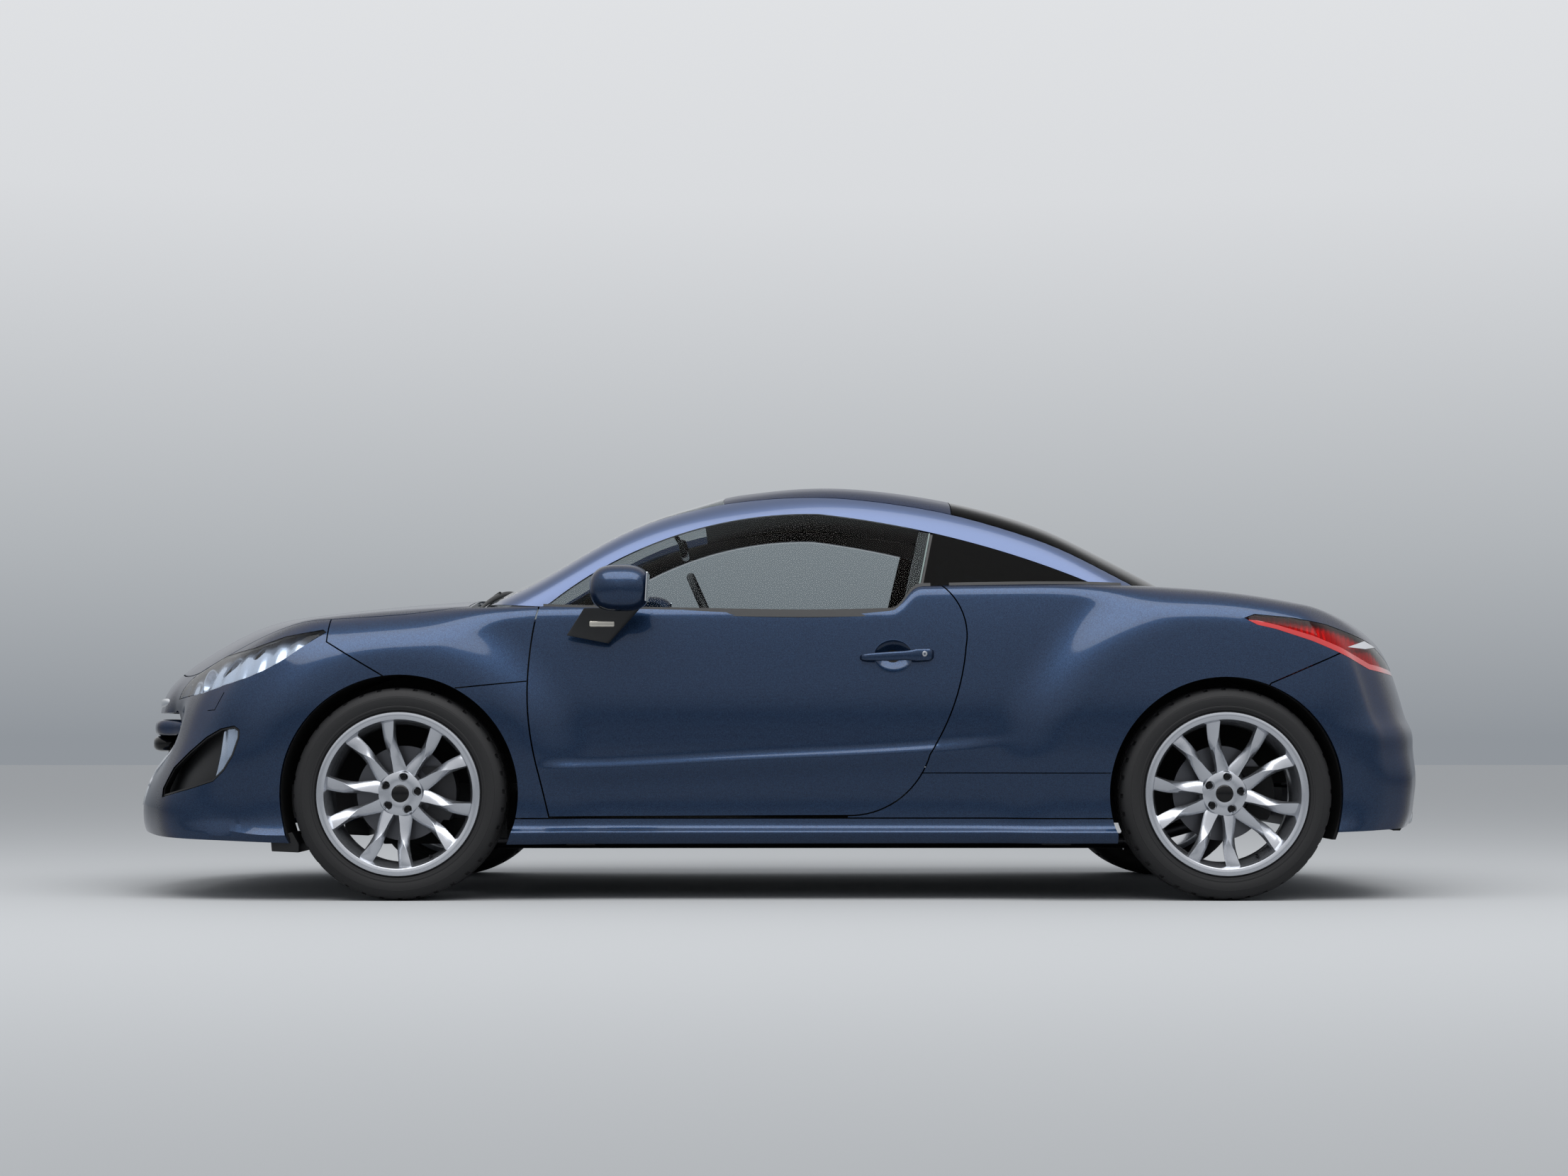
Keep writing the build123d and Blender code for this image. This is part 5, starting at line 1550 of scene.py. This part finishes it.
onDoors(makeSeal("doorSealRight", -742, 500), "doorSeal", "black")
bothSides(makeSeal("quarterSealRight", 560, 1120), "quarterSeal", "black")
onDoors(makePaneEdge(), "paneEdge", "glassEdge")
print("cabin furnished")


# ---- tail: diffuser, plate recess, exhaust tips
def makeDiffuser():
    sheet = skinPatch("diffuserSheet", fine(160, 60), rearRays, deeper(bodyField, 8), 20)
    trim(sheet, rearCut("diffuser", -3), keep=True)
    pieces = [sheet]
    for y in (-340, -115, 115, 340):
        fin = outlineCutter([(1980, 236), (2084, 240), (2094, 318), (1980, 318)], "side", y - 5, y + 5)
        pieces.append(fin)
    diffuser = joined(pieces, "rearDiffuserInsert")
    smooth(diffuser, 30)
    return diffuser


def rearCut(name, inset=0):
    return outlineCutter(shrunk(traceOutline(outlines[name]), inset), "front", 1850, 2300)


trim(rearBumper, rearCut("diffuser"))
trim(rearBumper, rearCut("plate"))
smooth(rearBumper, 28)
diffuser = makeDiffuser()
dress(diffuser, finishes["black"], "body_shell")
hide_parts("rear_diffuser")
plateWell = skinPatch("plateWell", fine(90, 50), rearRays, deeper(bodyField, 30), 6)
trim(plateWell, rearCut("plate", -8), keep=True)
smooth(plateWell, 30)
dress(plateWell, finishes["black"], "body_shell")
tips = []
for y in (-385, -300):
    tip = turned("exhaustTip", [(30, 0), (30, 76), (33, 79), (36.5, 78), (38, 74), (38, 0)], 48)
    tips.append(moved(tip, (2046, y, 262), Matrix.Rotation(math.radians(-90), 4, "Z")))
tips = joined(tips, "exhaustTips")
smooth(tips, 40)
dress(tips, finishes["chrome"], "body_shell")


# ---- wipers
def cabinTop(x, y):  # height of the glass there
    return surfaceAt(cabinField, lambda z: (x, y, z), 900.0, 1450.0)


def makeWiper(pivotY, reachY, name):
    blade, arm = [], []
    for t in np.linspace(0, 1, 16):
        x, y = -952 + 46 * t, reachY + (pivotY - reachY) * 1.15 * t - 60
        z = cabinTop(x, y)
        blade.append([(x + u, y, z + 9 + v) for u, v in rounded(5, 9 - 5 * abs(2 * t - 1) ** 3, 0, 10, 0.8)])
    for t in np.linspace(0, 1, 10):
        x, y = -992 + 66 * t, pivotY + (reachY + (pivotY - reachY) * 0.6 - 60 - pivotY) * t
        z = max(cabinTop(x, y), 966) + 18
        arm.append([(x + u, y, z + v) for u, v in rounded(9 - 4 * t, 5, 0, 10, 0.8)])
    wiper = joined([loftRings("blade", blade), loftRings("arm", arm)], name)
    smooth(wiper, 40)
    return dress(wiper, finishes["black"], "body_shell")


makeWiper(-60, -640, "wiperDriver")
makeWiper(520, -20, "wiperPassenger")
print("tail and wipers built")


# ---- CAD nodes that stay
stay = {
    "floor_pan": "underBlack", "front_frame": "underBlack", "engine_block": "castIron", "cowl_panel": "black",
    "dashboard": "softTrim", "wheel_liners": "underBlack",
    "rear_axle": "underBlack", "exhaust": "steel",
}
for side in ("left", "right"):
    stay[f"knuckle_{side}"] = "castIron"
    for corner in ("front", "rear"):
        stay[f"brake_disc_{corner}_{side}"] = "steel"
for node, finish in stay.items():
    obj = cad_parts[node]
    obj.data.materials.clear()
    obj.data.materials.append(finishes[finish])


# ---- stage, light and camera
bpy.ops.mesh.primitive_plane_add(size=80, location=(0, 0, 0))
floor = settle(bpy.context.object, "studioFloor")
floorMaterial = newMaterial("PaleStudioFloor")
floorInputs = {"Base Color": toLinear("#a5a7a9"), "Roughness": 0.9}
floorShader = addNode(floorMaterial, "ShaderNodeBsdfPrincipled", floorInputs)
closeMaterial(floorMaterial, floorShader.outputs["BSDF"])
floor.data.materials.append(floorMaterial)


def softLight(name, place, aim, size, energy):
    data = bpy.data.lights.new(name, "AREA")
    data.shape = "RECTANGLE"
    data.size, data.size_y = size
    data.energy = energy
    lamp = bpy.data.objects.new(name, data)
    bpy.context.collection.objects.link(lamp)
    lamp.location = place
    lamp.rotation_euler = (Vector(aim) - Vector(place)).to_track_quat("-Z", "Y").to_euler()
    return lamp


softLight("topBank", (0, -2.6, 5.6), (0, 0, 0.4), (10, 4), 440)
world = bpy.data.worlds.new("studio")
bpy.context.scene.world = world
world.use_nodes = True
worldNodes = world.node_tree.nodes
height = worldNodes.new("ShaderNodeSeparateXYZ")
world.node_tree.links.new(worldNodes.new("ShaderNodeTexCoord").outputs["Generated"], height.inputs[0])


def skyLight(background, strength, tones):  # tones from the horizon up
    ramp = worldNodes.new("ShaderNodeValToRGB")
    for i in (0, 1):
        ramp.color_ramp.elements[i].position = tones[-i][0]
        ramp.color_ramp.elements[i].color = toLinear(tones[-i][1])
    for place, tone in tones[1:-1]:
        ramp.color_ramp.elements.new(place).color = toLinear(tone)
    background.inputs["Strength"].default_value = strength
    world.node_tree.links.new(height.outputs["Z"], ramp.inputs[0])
    world.node_tree.links.new(ramp.outputs[0], background.inputs["Color"])
    return background


softSky = skyLight(worldNodes["Background"], 0.9, [
    (0.0, "#4d5359"), (0.12, "#6f7780"), (0.3, "#b4bcc6"), (0.5, "#e6ebf2"), (0.8, "#fdfeff")])
paleWall = skyLight(worldNodes.new("ShaderNodeBackground"), 1.0, [
    (0.0, "#90959b"), (0.07, "#b0b4b8"), (0.2, "#d9dbde"), (0.5, "#f4f5f7")])
rays = worldNodes.new("ShaderNodeLightPath")
shown = rays.outputs["Is Camera Ray"]
for kind in ("Is Glossy Ray", "Is Transmission Ray"):  # metal and glass mirror the same wall
    either = worldNodes.new("ShaderNodeMath")
    either.operation = "MAXIMUM"
    world.node_tree.links.new(shown, either.inputs[0])
    world.node_tree.links.new(rays.outputs[kind], either.inputs[1])
    shown = either.outputs[0]
blend = worldNodes.new("ShaderNodeMixShader")
world.node_tree.links.new(shown, blend.inputs[0])
world.node_tree.links.new(softSky.outputs[0], blend.inputs[1])
world.node_tree.links.new(paleWall.outputs[0], blend.inputs[2])
world.node_tree.links.new(blend.outputs[0], worldNodes["World Output"].inputs["Surface"])

view = {  # a frame in pixels: its size, the focal length, and where the level line straight across lands
    "width": 2212, "height": 1659, "focal": 3737, "column": 1093, "row": 1040, "place": (0, -9.27, 0.514),
}
camera = bpy.data.cameras.new("sideCamera")
cameraObj = bpy.data.objects.new("sideCamera", camera)
bpy.context.collection.objects.link(cameraObj)
camera.sensor_width = 36
camera.lens = view["focal"] / view["width"] * 36
cameraObj.location = view["place"]
pitch = math.atan((view["row"] - view["height"] / 2) / view["focal"])
heading = math.atan((view["column"] - view["width"] / 2) / view["focal"])
cameraObj.rotation_euler = (math.pi / 2 + pitch, 0, heading)
bpy.context.scene.camera = cameraObj
bpy.context.scene.view_settings.view_transform = "Standard"
